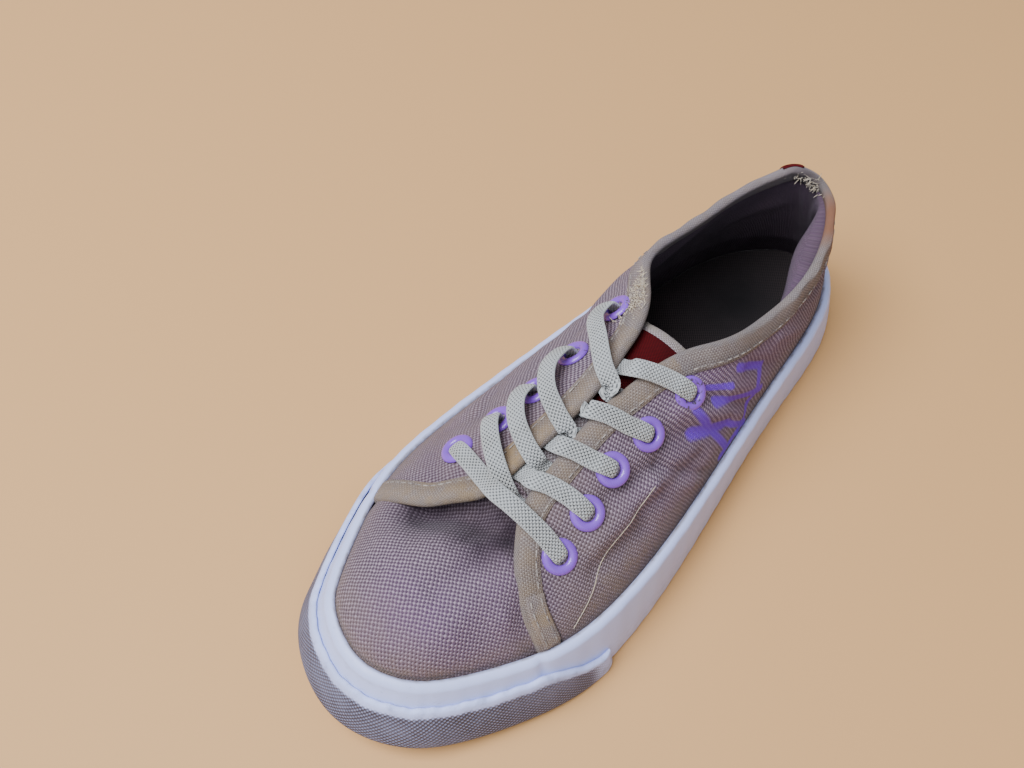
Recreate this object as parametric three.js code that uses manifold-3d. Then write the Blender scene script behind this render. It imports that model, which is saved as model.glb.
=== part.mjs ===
import * as THREE from 'three';
import { mergeVertices } from 'three/addons/utils/BufferGeometryUtils.js';
import Module from 'manifold-3d';

// A low canvas sneaker for the left foot, worn, with elastic laces. Millimetres, +Z up, toe along +X,
// outer (lateral) side along +Y. The shoe is drawn from the back of its heel and centred at the end.

const wasm = await Module();
wasm.setup();

// Driving sizes
const shoeLength = 225;
const ballWidth = 87;
const heelHeight = 55.2;
const instepHeight = 54.5;
const toeSpringRise = 8.8;
const archRise = 1.0;
const springStart = 0.62;
const archStart = 0.28;
const archEnd = 0.54;
const archBlend = 0.1;
const heelBandHeight = 19.1;
const toeBandRise = 6.5;
const bandThickness = 2.5;
const clearance = 0.45;
const seatGap = 0.3;
const outsoleHeight = 6.5;
const insoleHeight = 3;
const quarterWall = 1.9;
const vampWall = 1.4;
const vampDrop = 1.0;
const bindingRise = 0.5;
const bindingWidth = 6.5;
const tongueThickness = 2.2;
const labelHalf = 8.5;
const labelThickness = 0.5;
const bumperThickness = 1.6;
const bumperShare = 0.74;
const eyelet = { flange: 4.5, hole: 2.45, barrel: 2.8, cut: 3.15, rim: 0.9, depth: 2.6 };
const lace = { width: 5.2, thickness: 1.1, bunched: 3, under: -3, over: 2 };

// Sections round the shoe, from the back of the heel along the outer side to the toe and back along the
// inner side. Foot x and y on the floor and top x and y at the collar or the ridge are in hundredths of
// the length and of half the ball width; top z is in hundredths of the heel's height as far as the
// collar's corners and of the instep's height from there; the last number is the rib's roundness.
const toeSection = 13;
const collarCorners = [5, 21];
const sectionShares = [
  [0, -1.1, 7.2, -6.9, 100, 0.1],
  [2, 26.4, 7.6, 7.4, 99.5, 0.1],
  [8.4, 52.9, 9.8, 24, 95.7, 0.1],
  [16.9, 64.8, 16, 40.5, 91.1, 0.15],
  [26.7, 71.3, 23.1, 46.9, 87.5, 0.15],
  [36.4, 78.9, 30.2, 43.7, 86.2, 0.2],
  [46.2, 88.5, 38.7, 37.9, 97.2, 0.3],
  [56, 97.5, 49.8, 6.9, 100, 0.5],
  [65.8, 103.4, 60, 5.3, 90.8, 0.5],
  [75.6, 101.8, 70.2, 4.1, 79.8, 0.6],
  [84.2, 86.4, 78.2, 3, 73.4, 0.75],
  [91.1, 68, 84, 1.8, 68.8, 0.9],
  [96.3, 43.7, 88, 0.9, 64.2, 0.95],
  [99.2, 1.8, 89.8, 0.5, 62, 0.95],
  [96.3, -44.8, 88, 0.9, 64.2, 0.95],
  [91.1, -66.7, 84, 1.8, 68.8, 0.9],
  [84.2, -83.4, 78.2, 3, 73.4, 0.75],
  [75.6, -97.2, 70.2, 4.1, 79.8, 0.6],
  [65.8, -98.2, 60, 5.3, 90.8, 0.5],
  [56, -93.6, 49.8, 6.9, 100, 0.5],
  [46.2, -88.5, 40, -18.4, 100.9, 0.3],
  [36.4, -82.8, 33.1, -47.1, 92.9, 0.2],
  [26.7, -77.5, 24, -43.7, 90.6, 0.15],
  [16.9, -70.6, 15.6, -38.6, 92.4, 0.15],
  [8.4, -55.2, 10, -26.4, 96.9, 0.1],
  [2, -27.6, 7.8, -18.4, 99.6, 0.1],
];
const sections = sectionShares.map(([footX, footY, topX, topY, topZ, round], i) => {
  const height = i <= collarCorners[0] || i >= collarCorners[1] ? heelHeight : instepHeight;
  return [footX * shoeLength / 100, footY * ballWidth / 200, topX * shoeLength / 100, topY * ballWidth / 200,
    topZ * height / 100, round];
});
const around = sections.length;
const wrap = (i) => ((i % around) + around) % around;

// Handles of a closed cubic B-spline that passes close to the sections
function refine(points, target) {
  return points.map((row, i) => row.map((value, k) => {
    const smooth = (points[wrap(i - 1)][k] + 4 * value + points[wrap(i + 1)][k]) / 6;
    return value + target[i][k] - smooth;
  }));
}
const handles = refine(refine(sections, sections), sections);

function sectionAt(s) {
  const i = Math.floor(s);
  const t = s - i;
  const weights = [(1 - t) ** 3, 3 * t ** 3 - 6 * t * t + 4, -3 * t ** 3 + 3 * t * t + 3 * t + 1, t ** 3];
  return sections[0].map((_, k) => weights.reduce(
    (sum, weight, n) => sum + weight * handles[wrap(i - 1 + n)][k] / 6, 0));
}

function outwardAt(s) {
  const a = sectionAt(s - 0.01);
  const b = sectionAt(s + 0.01);
  return new THREE.Vector2(a[1] - b[1], b[0] - a[0]).normalize();
}

const clamp01 = (v) => Math.min(Math.max(v, 0), 1);
const ease = (v) => clamp01(v) ** 2 * (3 - 2 * clamp01(v));

function floorHeight(x) {
  const share = x / shoeLength;
  const spring = toeSpringRise * (Math.max(share - springStart, 0) / (1 - springStart)) ** 2;
  const arch = archRise * ease((share - archStart) / archBlend) * ease((archEnd - share) / archBlend);
  return spring + arch;
}
const rimHeight = (x) => heelBandHeight + toeBandRise * (Math.max(x / shoeLength - 0.38, 0) / 0.62) ** 1.8;
function lean(x) {
  const heel = 3.4 * Math.max(1 - x / 74, 0) ** 2;
  const toe = 8.3 * (Math.max(x / shoeLength - 0.33, 0) / 0.67) ** 1.7;
  return 1.8 + heel + toe;
}

// A point of the rubber band's side: k is 0 at the floor and 1 at its rim, depth goes inwards
function sidePoint(s, k, depth) {
  const row = sectionAt(s);
  const out = outwardAt(s);
  const inset = lean(row[0]) * Math.max(k, 0) ** 1.3 + depth;
  const low = floorHeight(row[0]);
  return new THREE.Vector3(row[0] - out.x * inset, row[1] - out.y * inset,
    low + k * (rimHeight(row[0]) - low));
}

// The last: w is 0 at the rim of the band and 1 at the collar or the ridge; below 0 it goes down inside
// the band to the top of the outsole. A rib is part straight line and part quarter ellipse.
function lastPoint(s, w) {
  const wallDepth = bandThickness + clearance;
  const row = sectionAt(s);
  if (w < 0) {
    const bottom = (outsoleHeight + seatGap) / (rimHeight(row[0]) - floorHeight(row[0]));
    return sidePoint(s, 1 + w * (1 - bottom), wallDepth);
  }
  const foot = sidePoint(s, 1, wallDepth);
  const round = row[5];
  const across = (1 - round) * w + round * (1 - Math.cos(w * Math.PI / 2));
  const up = (1 - round) * w + round * Math.sin(w * Math.PI / 2);
  return new THREE.Vector3(foot.x + (row[2] - foot.x) * across, foot.y + (row[3] - foot.y) * across,
    foot.z + (row[4] - foot.z) * up);
}

function lastNormal(s, w) {
  if (w < 0) return new THREE.Vector3(outwardAt(s).x, outwardAt(s).y, 0);
  const step = 0.01;
  const along = lastPoint(s + step, w).sub(lastPoint(s - step, w));
  const rise = lastPoint(s, w + step).sub(lastPoint(s, Math.max(w - step, 0)));
  const normal = rise.cross(along).normalize();
  const out = outwardAt(s);
  return normal.dot(new THREE.Vector3(out.x, out.y, 0.8)) < 0 ? normal.negate() : normal;
}
const skin = (s, w, offset) => lastPoint(s, w).addScaledVector(lastNormal(s, w), offset);

// Edges of the quarters: the throat by section, and the front edge by height
const throatOuter = [[5.6, 1], [6.3, 1], [6.55, 0.962], [7.02, 0.89], [7.35, 0.89], [7.84, 0.9],
  [8.34, 0.894], [8.69, 0.877], [9.02, 0.82], [9.5, 0.8]];
const throatInner = [[16.4, 0.86], [16.94, 0.883], [17.4, 0.925], [17.99, 0.943], [18.82, 0.92],
  [19.26, 0.92], [19.58, 0.962], [20.08, 1], [20.6, 1]];
const frontOuter = [[0, 9.42], [0.3, 9.45], [0.45, 9.43], [0.7, 9.24], [0.82, 9.02], [1, 8.7]];
const frontInner = [[0, 16.5], [0.3, 16.47], [0.566, 16.5], [0.68, 16.56], [0.8, 16.75], [0.883, 16.94],
  [1, 17.3]];

function along(table, x) {
  const last = table.length - 1;
  if (x <= table[0][0]) return table[0][1];
  if (x >= table[last][0]) return table[last][1];
  const i = table.findIndex((row) => row[0] > x) - 1;
  const t = (x - table[i][0]) / (table[i + 1][0] - table[i][0]);
  return table[i][1] + (table[i + 1][1] - table[i][1]) * t;
}
const topShare = (s) => (s >= 0 ? along(throatOuter, s) : along(throatInner, s + around));
const ribLength = (s) => lastPoint(s, 0).distanceTo(lastPoint(s, 1)) * 1.05;

// Solid building
function closedGeometry(positions, index) {
  let geometry = new THREE.BufferGeometry();
  geometry.setAttribute('position', new THREE.Float32BufferAttribute(positions, 3));
  geometry.setIndex(index);
  geometry = mergeVertices(geometry, 1e-3);
  const kept = [];
  const ids = geometry.index.array;
  for (let i = 0; i < ids.length; i += 3) {
    const [a, b, c] = [ids[i], ids[i + 1], ids[i + 2]];
    if (a !== b && b !== c && a !== c) kept.push(a, b, c);
  }
  if (signedVolume(geometry.attributes.position, kept) < 0) kept.reverse();
  geometry.setIndex(kept);
  return geometry;
}

function signedVolume(position, ids) {
  const corner = [0, 1, 2].map(() => new THREE.Vector3());
  let sum = 0;
  for (let i = 0; i < ids.length; i += 3) {
    corner.forEach((point, k) => point.fromBufferAttribute(position, ids[i + k]));
    sum += corner[0].dot(corner[1].clone().cross(corner[2]));
  }
  return sum;
}

// Two faces over one grid of levels, joined round their edges; a zipped shell folds shut on its last row
function shell(rows, columns, outer, inner, zipped = false) {
  const positions = [];
  const index = [];
  const stride = columns.length;
  const back = rows.length * stride;
  const quad = (a, b, c, d) => index.push(a, b, c, a, c, d);
  for (const face of [outer, inner]) {
    for (const r of rows) {
      for (const c of columns) positions.push(...face(r, c).toArray());
    }
  }
  for (let i = 0; i + 1 < rows.length; i++) {
    const first = i * stride;
    const end = first + stride - 1;
    for (let a = first; a < end; a++) {
      quad(a, a + stride, a + stride + 1, a + 1);
      quad(back + a, back + a + 1, back + a + stride + 1, back + a + stride);
    }
    quad(first + stride, first, back + first, back + first + stride);
    quad(end, end + stride, back + end + stride, back + end);
  }
  for (let a = 0; a + 1 < stride; a++) {
    quad(a, a + 1, back + a + 1, back + a);
    const b = (rows.length - 1) * stride + a;
    if (!zipped) quad(b + 1, b, back + b, back + b + 1);
  }
  return closedGeometry(positions, index);
}

// A closed profile carried along stations; the ends are capped unless the path is a ring
function sweep(profiles, ring = false) {
  const positions = [];
  const index = [];
  const sides = profiles[0].length;
  profiles.forEach((profile) => profile.forEach((point) => positions.push(...point.toArray())));
  const count = ring ? profiles.length : profiles.length - 1;
  for (let i = 0; i < count; i++) {
    const next = ((i + 1) % profiles.length) * sides;
    for (let j = 0; j < sides; j++) {
      const a = i * sides + j;
      const b = i * sides + (j + 1) % sides;
      const c = next + (j + 1) % sides;
      const d = next + j;
      index.push(a, b, c, a, c, d);
    }
  }
  if (!ring) {
    const end = (profiles.length - 1) * sides;
    for (let j = 1; j + 1 < sides; j++) {
      index.push(0, j + 1, j);
      index.push(end, end + j, end + j + 1);
    }
  }
  return closedGeometry(positions, index);
}

function toSolid(geometry) {
  return new wasm.Manifold(new wasm.Mesh({
    numProp: 3,
    vertProperties: new Float32Array(geometry.attributes.position.array),
    triVerts: new Uint32Array(geometry.index.array),
  }));
}

function fromSolid(solid) {
  const mesh = solid.getMesh();
  const geometry = new THREE.BufferGeometry();
  geometry.setAttribute('position', new THREE.BufferAttribute(mesh.vertProperties, 3));
  geometry.setIndex(new THREE.BufferAttribute(mesh.triVerts, 1));
  return geometry;
}

const steps = (count, from = 0, to = 1) => Array.from({ length: count + 1 },
  (_, i) => from + (to - from) * i / count);

// Flat pieces that fill the outline, from side to side between the heel and the toe
function plate(depth, low, high) {
  const edge = (reach, side, height) => {
    const s = toeSection - side * reach;
    const x = sectionAt(s)[0];
    const wall = rimHeight(x) - floorHeight(x);
    return sidePoint(s, height / wall, depth);
  };
  const face = (height) => (reach, across) => edge(reach, 1, height).lerp(edge(reach, -1, height), across);
  return shell(steps(39, toeSection, 0), steps(2), face(high), face(low));
}

function makeFoxing() {
  const profile = (s) => {
    const x = sectionAt(s)[0];
    const wall = rimHeight(x) - floorHeight(x);
    const round = 0.9 / wall;
    return [[0, 0], [0.35, 0], [0.7, 0], [1 - 2 * round, 0.1], [1 - round, 0.4], [1 - round * 0.15, 1],
      [1, bandThickness * 0.6], [1 - round * 0.3, bandThickness - 0.2], [1 - 2 * round, bandThickness],
      [0.7, bandThickness], [0.35, bandThickness], [0, bandThickness]].map(([k, depth]) => sidePoint(s, k, depth));
  };
  return sweep(steps(77, 0, around * 77 / 78).map(profile), true);
}

// The textured toe bumper lies on the band's outside, and thins out at both ends
const bumperOuterEnd = 8.52;
const bumperInnerEnd = 17.45;
function makeBumper() {
  const profile = (s) => {
    const toEnd = Math.min(s - bumperOuterEnd, bumperInnerEnd - s);
    const full = Math.sqrt(clamp01(toEnd / 0.35 + 0.06));
    const high = bumperShare * (0.55 + 0.45 * ease(toEnd));
    const thick = 0.5 + (bumperThickness - 0.5) * full;
    const near = -seatGap;
    const far = near - thick;
    return [[0, near], [0, far], [high * 0.5, far], [high - 0.05, far], [high, far + thick * 0.5], [high, near],
      [Math.min(0.35, high * 0.8), near - 0.1]]
      .map(([k, depth]) => sidePoint(s, k, depth));
  };
  const stations = steps(40, bumperOuterEnd, bumperInnerEnd);
  return sweep(stations.map(profile));
}

// Upper
const bandReach = 0.34;
function quarterPoint(offset) {
  return (a, b) => {
    const bound = Math.max(b, 0);
    const outer = along(frontOuter, bound * 0.86);
    const inner = along(frontInner, bound * 0.9) - around;
    const s = inner + (outer - inner) * a;
    const top = topShare(s);
    return skin(s, b > 0 ? b * top : b, offset(Math.min(outer - s, s - inner), (1 - b) * top * ribLength(s), b));
  };
}

function bindingOffset(fromFront, fromTop, b) {
  if (b <= 0) return 0;
  const front = clamp01((bandReach - fromFront) / 0.03);
  const top = clamp01((bindingWidth - fromTop) / 0.6);
  const edge = fromTop < 0.3 || fromFront < 0.01 ? 0.45 : 0;
  return bindingRise * Math.max(front, top) * ease(b / 0.08) - edge;
}

function makeQuarters() {
  const ends = [0, 0.008, 0.016, 0.019];
  const columns = [...ends, ...steps(42, 0.03, 0.97), ...ends.map((v) => 1 - v).reverse()];
  const rows = [-1, -0.5, 0, 0.12, 0.28, 0.46, 0.64, 0.8, 0.835, 0.97, 1];
  return shell(rows, columns, (b, a) => quarterPoint(bindingOffset)(a, b),
    (b, a) => quarterPoint(() => -quarterWall)(a, b));
}

// The vamp runs over the toes; near the quarters it sinks under them
function vampPoint(depth) {
  return (reach, q) => {
    const sides = Math.abs(q) < 1e-6 || reach < 1e-6 ? [1, -1] : [Math.sign(q)];
    const w = 1 - Math.abs(q) * (Math.abs(q) > 0.999 ? 2 : 1);
    const sink = vampDrop * ease((reach - 2.5) / 0.7);
    const point = new THREE.Vector3();
    for (const side of sides) {
      const s = toeSection + side * reach;
      point.add(lastPoint(s, w).addScaledVector(lastNormal(s, Math.min(w, 0.985)), -sink - depth));
    }
    return point.divideScalar(sides.length);
  };
}

function makeVamp() {
  const half = [1, 0.96, 0.86, 0.7, 0.52, 0.34, 0.17];
  const columns = [...half.map((v) => -v), 0, ...half.slice().reverse()];
  return shell(steps(16, 4.1, 0), columns, vampPoint(0), vampPoint(vampWall), true);
}

// Eyelets sit five to a side, from the toe to the collar, as section and share of the rib
const eyeletPlaces = {
  lateral: [[8.68, 0.52], [8.14, 0.587], [7.61, 0.641], [6.99, 0.641], [6.38, 0.74]],
  medial: [[17.45, 0.535], [17.98, 0.612], [18.53, 0.639], [19.21, 0.65], [19.95, 0.782]],
};
const eyeletFrames = Object.fromEntries(Object.entries(eyeletPlaces).map(([side, places]) => [side,
  places.map(([s, w]) => ({ s, w, centre: lastPoint(s, w), normal: lastNormal(s, w) }))]));
const upAxis = new THREE.Vector3(0, 0, 1);

function placeOnUpper(geometry, frame, offset) {
  geometry.applyQuaternion(new THREE.Quaternion().setFromUnitVectors(upAxis, frame.normal));
  geometry.translate(...frame.centre.clone().addScaledVector(frame.normal, offset).toArray());
  return geometry;
}

function lathe(profile, sides) {
  const profiles = steps(sides - 1, 0, (sides - 1) / sides).map((turn) => profile.map(([r, z]) => {
    const angle = turn * Math.PI * 2;
    return new THREE.Vector3(r * Math.cos(angle), r * Math.sin(angle), z);
  }));
  return sweep(profiles, true);
}

function makeEyelet(frame) {
  const { flange, hole, barrel, rim, depth } = eyelet;
  const profile = [[hole, -depth], [barrel, -depth], [barrel, 0], [flange, 0], [flange, rim * 0.45],
    [(flange + hole) / 2, rim], [hole, rim * 0.6]];
  const edge = topShare(frame.s > toeSection ? frame.s - around : frame.s);
  const fromEdge = (1 - frame.w / edge) * ribLength(frame.s);
  const onBinding = fromEdge < bindingWidth + flange ? bindingRise : 0;
  return placeOnUpper(lathe(profile, 12), frame, seatGap + onBinding);
}

function makeUpper() {
  let solid = toSolid(makeQuarters()).add(toSolid(makeVamp()));
  for (const frame of [...eyeletFrames.lateral, ...eyeletFrames.medial]) {
    const drill = mergeVertices(new THREE.CylinderGeometry(eyelet.cut, eyelet.cut, 9, 16)
      .deleteAttribute('normal').deleteAttribute('uv').rotateX(Math.PI / 2));
    solid = solid.subtract(toSolid(placeOnUpper(drill, frame, -1.5)));
  }
  return fromSolid(solid);
}

// Tongue: a strip under the throat, from below the vamp to its rounded tip at the collar
const tongueLine = new THREE.CatmullRomCurve3([
  [167, 1.4, 38.4], [158, 1.8, 39.7], [146, 2.1, 41.9], [130, 2.5, 45.2], [114, 2.8, 48.3], [103, 3.1, 50.4],
  [93.5, 3.6, 52.8]].map((p) => new THREE.Vector3(...p)));
const tongueHalf = [[0, 12], [0.2, 14], [0.75, 17], [0.93, 15.5], [0.98, 11.5], [1, 7]];
const tongueDrop = [[0, 9.5], [0.2, 10.5], [0.45, 11.5], [0.8, 14], [1, 11]];

function tonguePoint(depth) {
  return (t, q) => {
    const middle = tongueLine.getPoint(t);
    const tangent = tongueLine.getTangent(t);
    const normal = new THREE.Vector3(-tangent.z, 0, tangent.x).normalize();
    if (normal.z < 0) normal.negate();
    const half = along(tongueHalf, t);
    const share = half / 17;
    return middle.clone().add(new THREE.Vector3(0, q * half, 0))
      .addScaledVector(normal, -along(tongueDrop, t) * q * q * share * share - depth);
  };
}
const makeTongue = () => shell([...steps(12, 0, 0.93), 0.98, 1], steps(8, -1, 1),
  tonguePoint(0), tonguePoint(tongueThickness));

function makeTongueLabel() {
  const place = (depth) => (t, q) => tonguePoint(depth)(t, q * labelHalf / along(tongueHalf, t));
  return shell(steps(5, 0.6, 0.955), steps(4, -1, 1), place(-labelThickness - seatGap), place(-seatGap));
}

function makeHeelTab() {
  const place = (offset) => (s, w) => skin(s, w, offset);
  return shell(steps(2, -0.75, -0.05), steps(3, 0.62, 0.99), place(bindingRise + 1.6), place(bindingRise + 0.3));
}

// Lace: a flat ribbon. Each stop is a point, the way its width lies and its width there.
function ribbon(stops) {
  const line = new THREE.CatmullRomCurve3(stops.map((stop) => stop.at), false, 'centripetal');
  const count = (stops.length - 1) * 2;
  const profiles = steps(count).map((t) => {
    const spot = t * (stops.length - 1);
    const i = Math.min(Math.floor(spot), stops.length - 2);
    const f = spot - i;
    const tangent = line.getTangent(t);
    const side = stops[i].side.clone().lerp(stops[i + 1].side, f).projectOnPlane(tangent).normalize();
    const face = tangent.clone().cross(side);
    const half = (stops[i].width + (stops[i + 1].width - stops[i].width) * f) / 2;
    const thick = lace.thickness / 2;
    const centre = line.getPoint(t);
    return [[-1, -1], [1, -1], [1, 1], [-1, 1]].map(([a, b]) => centre.clone()
      .addScaledVector(side, a * half).addScaledVector(face, b * thick));
  });
  return sweep(profiles);
}

// A stop on the upper: offset from the skin, distance from the eyelet towards the ridge
function laceStop(frame, offset, distance, width) {
  const inward = skin(frame.s, frame.w + 0.02, 0).sub(skin(frame.s, frame.w, 0)).normalize();
  const at = skin(frame.s, frame.w, offset).addScaledVector(inward, distance);
  return { at, side: grain(frame.s, frame.w), width };
}

// The way the upper runs forward
function grain(s, w) {
  const forward = lastPoint(s + 0.05, w).sub(lastPoint(s - 0.05, w)).normalize();
  return forward.x < 0 ? forward.negate() : forward;
}

// From under one eyelet, out through the throat and over the other quarter into the next eyelet
function laceRun(from, to, slack) {
  const { width, bunched, under, over } = lace;
  const back = from.s < toeSection ? -0.16 : 0.16;
  const edgeStop = (frame, shift, offset) => {
    const s = frame.s + shift;
    const w = topShare(s > toeSection ? s - around : s);
    return { at: skin(s, w, offset), side: grain(s, w), width };
  };
  const low = edgeStop(from, back, under);
  const high = edgeStop(to, back, over + slack * 0.6);
  const middle = {
    at: low.at.clone().lerp(high.at, 0.5).add(new THREE.Vector3(0, 0, 0.6 + slack * 0.5)),
    side: low.side.clone().lerp(high.side, 0.5),
    width,
  };
  return ribbon([
    laceStop(from, under - 0.9, 0, bunched),
    laceStop(from, under, 5, width),
    low,
    middle,
    high,
    laceStop(to, over + slack, 6, width),
    laceStop(to, over + 0.9, 1.4, bunched),
    laceStop(to, 0.6, 0, bunched),
    laceStop(to, under - 0.9, 0, bunched),
  ]);
}

function makeLace() {
  const { lateral, medial } = eyeletFrames;
  const forward = new THREE.Vector3(1, 0, -0.3).normalize();
  const bar = ribbon([
    { at: skin(medial[0].s, medial[0].w, -3.9), side: forward, width: lace.bunched },
    { at: skin(medial[0].s, medial[0].w, 0.3), side: forward, width: lace.bunched },
    { at: skin(medial[0].s, medial[0].w + 0.05, 2.2), side: forward, width: lace.width },
    { at: skin(17.3, 0.95, 2.4), side: forward, width: lace.width },
    { at: skin(8.75, 0.88, 2.2), side: forward, width: lace.width },
    { at: skin(lateral[0].s, lateral[0].w + 0.05, 2.2), side: forward, width: lace.width },
    { at: skin(lateral[0].s, lateral[0].w, 0.3), side: forward, width: lace.bunched },
    { at: skin(lateral[0].s, lateral[0].w, -3.9), side: forward, width: lace.bunched },
  ]);
  let solid = toSolid(bar);
  for (let i = 0; i < 4; i++) {
    solid = solid.add(toSolid(laceRun(lateral[i], medial[i + 1], 2.5)));
    solid = solid.add(toSolid(laceRun(medial[i], lateral[i + 1], 0.9)));
  }
  return fromSolid(solid);
}

// Materials
const canvas = new THREE.MeshStandardMaterial({ color: 0x8f8390, roughness: 0.95 });
const whiteRubber = new THREE.MeshStandardMaterial({ color: 0xc9cbe0, roughness: 0.5 });
const greyRubber = new THREE.MeshStandardMaterial({ color: 0xb4b1bd, roughness: 0.65 });
const soleRubber = new THREE.MeshStandardMaterial({ color: 0xa8a49c, roughness: 0.7 });
const lining = new THREE.MeshStandardMaterial({ color: 0x4a4347, roughness: 0.95 });
const redCloth = new THREE.MeshStandardMaterial({ color: 0x8c0f1c, roughness: 0.8 });
const enamel = new THREE.MeshStandardMaterial({ color: 0x8f78bf, roughness: 0.3, metalness: 0.1 });
const elastic = new THREE.MeshStandardMaterial({ color: 0xa5a49d, roughness: 0.9 });

const shoe = new THREE.Group();
function addPiece(name, geometry, material) {
  const mesh = new THREE.Mesh(geometry, material);
  mesh.name = name;
  shoe.add(mesh);
}

addPiece('outsole', plate(bandThickness + clearance, 0, outsoleHeight), soleRubber);
addPiece('foxing', makeFoxing(), whiteRubber);
addPiece('toe_bumper', makeBumper(), greyRubber);
addPiece('insole', plate(bandThickness + 2 * clearance + quarterWall + vampDrop + 0.5, outsoleHeight + seatGap,
  outsoleHeight + seatGap + insoleHeight), lining);
addPiece('upper', makeUpper(), canvas);
addPiece('tongue', makeTongue(), canvas);
addPiece('tongue_label', makeTongueLabel(), redCloth);
addPiece('heel_tab', makeHeelTab(), redCloth);
for (const [side, frames] of Object.entries(eyeletFrames)) {
  frames.forEach((frame, i) => addPiece(`eyelet_${side}_${i + 1}`, makeEyelet(frame), enamel));
}
addPiece('lace', makeLace(), elastic);

// The origin is on the floor, at the middle of the shoe's length and width
const bounds = new THREE.Box3().setFromObject(shoe);
const centre = bounds.getCenter(new THREE.Vector3());
shoe.position.set(-centre.x, -centre.y, -bounds.min.z);

const part = new THREE.Group();
part.add(shoe);

export default part;
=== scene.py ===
import bmesh
import bpy
import numpy as np
from mathutils import Matrix


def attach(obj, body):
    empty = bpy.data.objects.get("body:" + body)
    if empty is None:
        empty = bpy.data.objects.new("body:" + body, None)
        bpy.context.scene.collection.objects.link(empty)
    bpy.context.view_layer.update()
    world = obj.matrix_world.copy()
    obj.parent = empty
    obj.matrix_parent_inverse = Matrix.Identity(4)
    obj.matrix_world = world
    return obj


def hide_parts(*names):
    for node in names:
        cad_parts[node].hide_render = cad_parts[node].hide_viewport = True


# A worn canvas sneaker for the left foot, with elastic laces. Shapes are worked out in millimetres from the
# back of the heel (toe along +X, outer side along +Y) and are put in the frame's metres when they are built.

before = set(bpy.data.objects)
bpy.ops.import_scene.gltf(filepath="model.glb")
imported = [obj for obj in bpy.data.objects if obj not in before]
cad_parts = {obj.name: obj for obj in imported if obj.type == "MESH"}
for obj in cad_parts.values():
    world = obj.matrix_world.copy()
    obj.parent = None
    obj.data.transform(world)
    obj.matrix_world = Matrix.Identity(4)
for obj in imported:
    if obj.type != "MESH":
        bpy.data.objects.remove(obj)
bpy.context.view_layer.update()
print("frame loaded")

# Main sizes, in mm; shape numbers are shares of them
shoe = {
    "length": 225.0, "ballWidth": 87.0, "heelHeight": 55.2, "instepHeight": 54.5,
    "toeSpring": 8.8, "archRise": 1.0, "bandHeight": 19.1, "bandRise": 6.5, "bandThick": 2.5, "gap": 0.45,
    "toeSection": 13, "collarCorners": (5, 21), "soleTop": 6.8, "seat": 0.12,
    "eyeletSections": {
        "lateral": [(8.68, 0.52), (8.14, 0.587), (7.61, 0.641), (6.99, 0.641), (6.38, 0.74)],
        "medial": [(17.45, 0.535), (17.98, 0.612), (18.53, 0.639), (19.21, 0.65), (19.95, 0.782)],
    },
}
origin = np.array([-112.4094, -1.08773, 0.0])

# Round the shoe from the heel along the outer side to the toe and back: foot x, y, top x, y in hundredths of
# the length and of half the ball width, top z in hundredths of the heel or instep height, roundness
sectionShares = np.array([
    [0, -1.1, 7.2, -6.9, 100, 0.1], [2, 26.4, 7.6, 7.4, 99.5, 0.1], [8.4, 52.9, 9.8, 24, 95.7, 0.1],
    [16.9, 64.8, 16, 40.5, 91.1, 0.15], [26.7, 71.3, 23.1, 46.9, 87.5, 0.15],
    [36.4, 78.9, 30.2, 43.7, 86.2, 0.2], [46.2, 88.5, 38.7, 37.9, 97.2, 0.3], [56, 97.5, 49.8, 6.9, 100, 0.5],
    [65.8, 103.4, 60, 5.3, 90.8, 0.5], [75.6, 101.8, 70.2, 4.1, 79.8, 0.6], [84.2, 86.4, 78.2, 3, 73.4, 0.75],
    [91.1, 68, 84, 1.8, 68.8, 0.9], [96.3, 43.7, 88, 0.9, 64.2, 0.95], [99.2, 1.8, 89.8, 0.5, 62, 0.95],
    [96.3, -44.8, 88, 0.9, 64.2, 0.95], [91.1, -66.7, 84, 1.8, 68.8, 0.9], [84.2, -83.4, 78.2, 3, 73.4, 0.75],
    [75.6, -97.2, 70.2, 4.1, 79.8, 0.6], [65.8, -98.2, 60, 5.3, 90.8, 0.5], [56, -93.6, 49.8, 6.9, 100, 0.5],
    [46.2, -88.5, 40, -18.4, 100.9, 0.3], [36.4, -82.8, 33.1, -47.1, 92.9, 0.2],
    [26.7, -77.5, 24, -43.7, 90.6, 0.15], [16.9, -70.6, 15.6, -38.6, 92.4, 0.15],
    [8.4, -55.2, 10, -26.4, 96.9, 0.1], [2, -27.6, 7.8, -18.4, 99.6, 0.1],
])
around = len(sectionShares)


# The table in mm, with the collar's and the instep's own heights
def scaledSections():
    index = np.arange(around)
    low, high = shoe["collarCorners"]
    height = np.where((index <= low) | (index >= high), shoe["heelHeight"], shoe["instepHeight"])
    rows = sectionShares.copy()
    rows[:, [0, 2]] *= shoe["length"] / 100
    rows[:, [1, 3]] *= shoe["ballWidth"] / 200
    rows[:, 4] *= height / 100
    return rows


# Handles of a closed cubic B-spline near the sections: each is moved by what the spline misses, twice
def splineHandles(rows):
    handles = rows
    for _ in range(2):
        smooth = (np.roll(handles, 1, 0) + 4 * handles + np.roll(handles, -1, 0)) / 6
        handles = handles + rows - smooth
    return handles


handles = splineHandles(scaledSections())


# Smooth step from 0 to 1: 3 v squared less 2 v cubed
def easeStep(v):
    v = np.clip(v, 0, 1)
    return v * v * (3 - 2 * v)


# Bell: exp of minus the square of the distance to the middle over the width
def bump(v, middle, width):
    return np.exp(-((v - middle) / width) ** 2)


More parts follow.
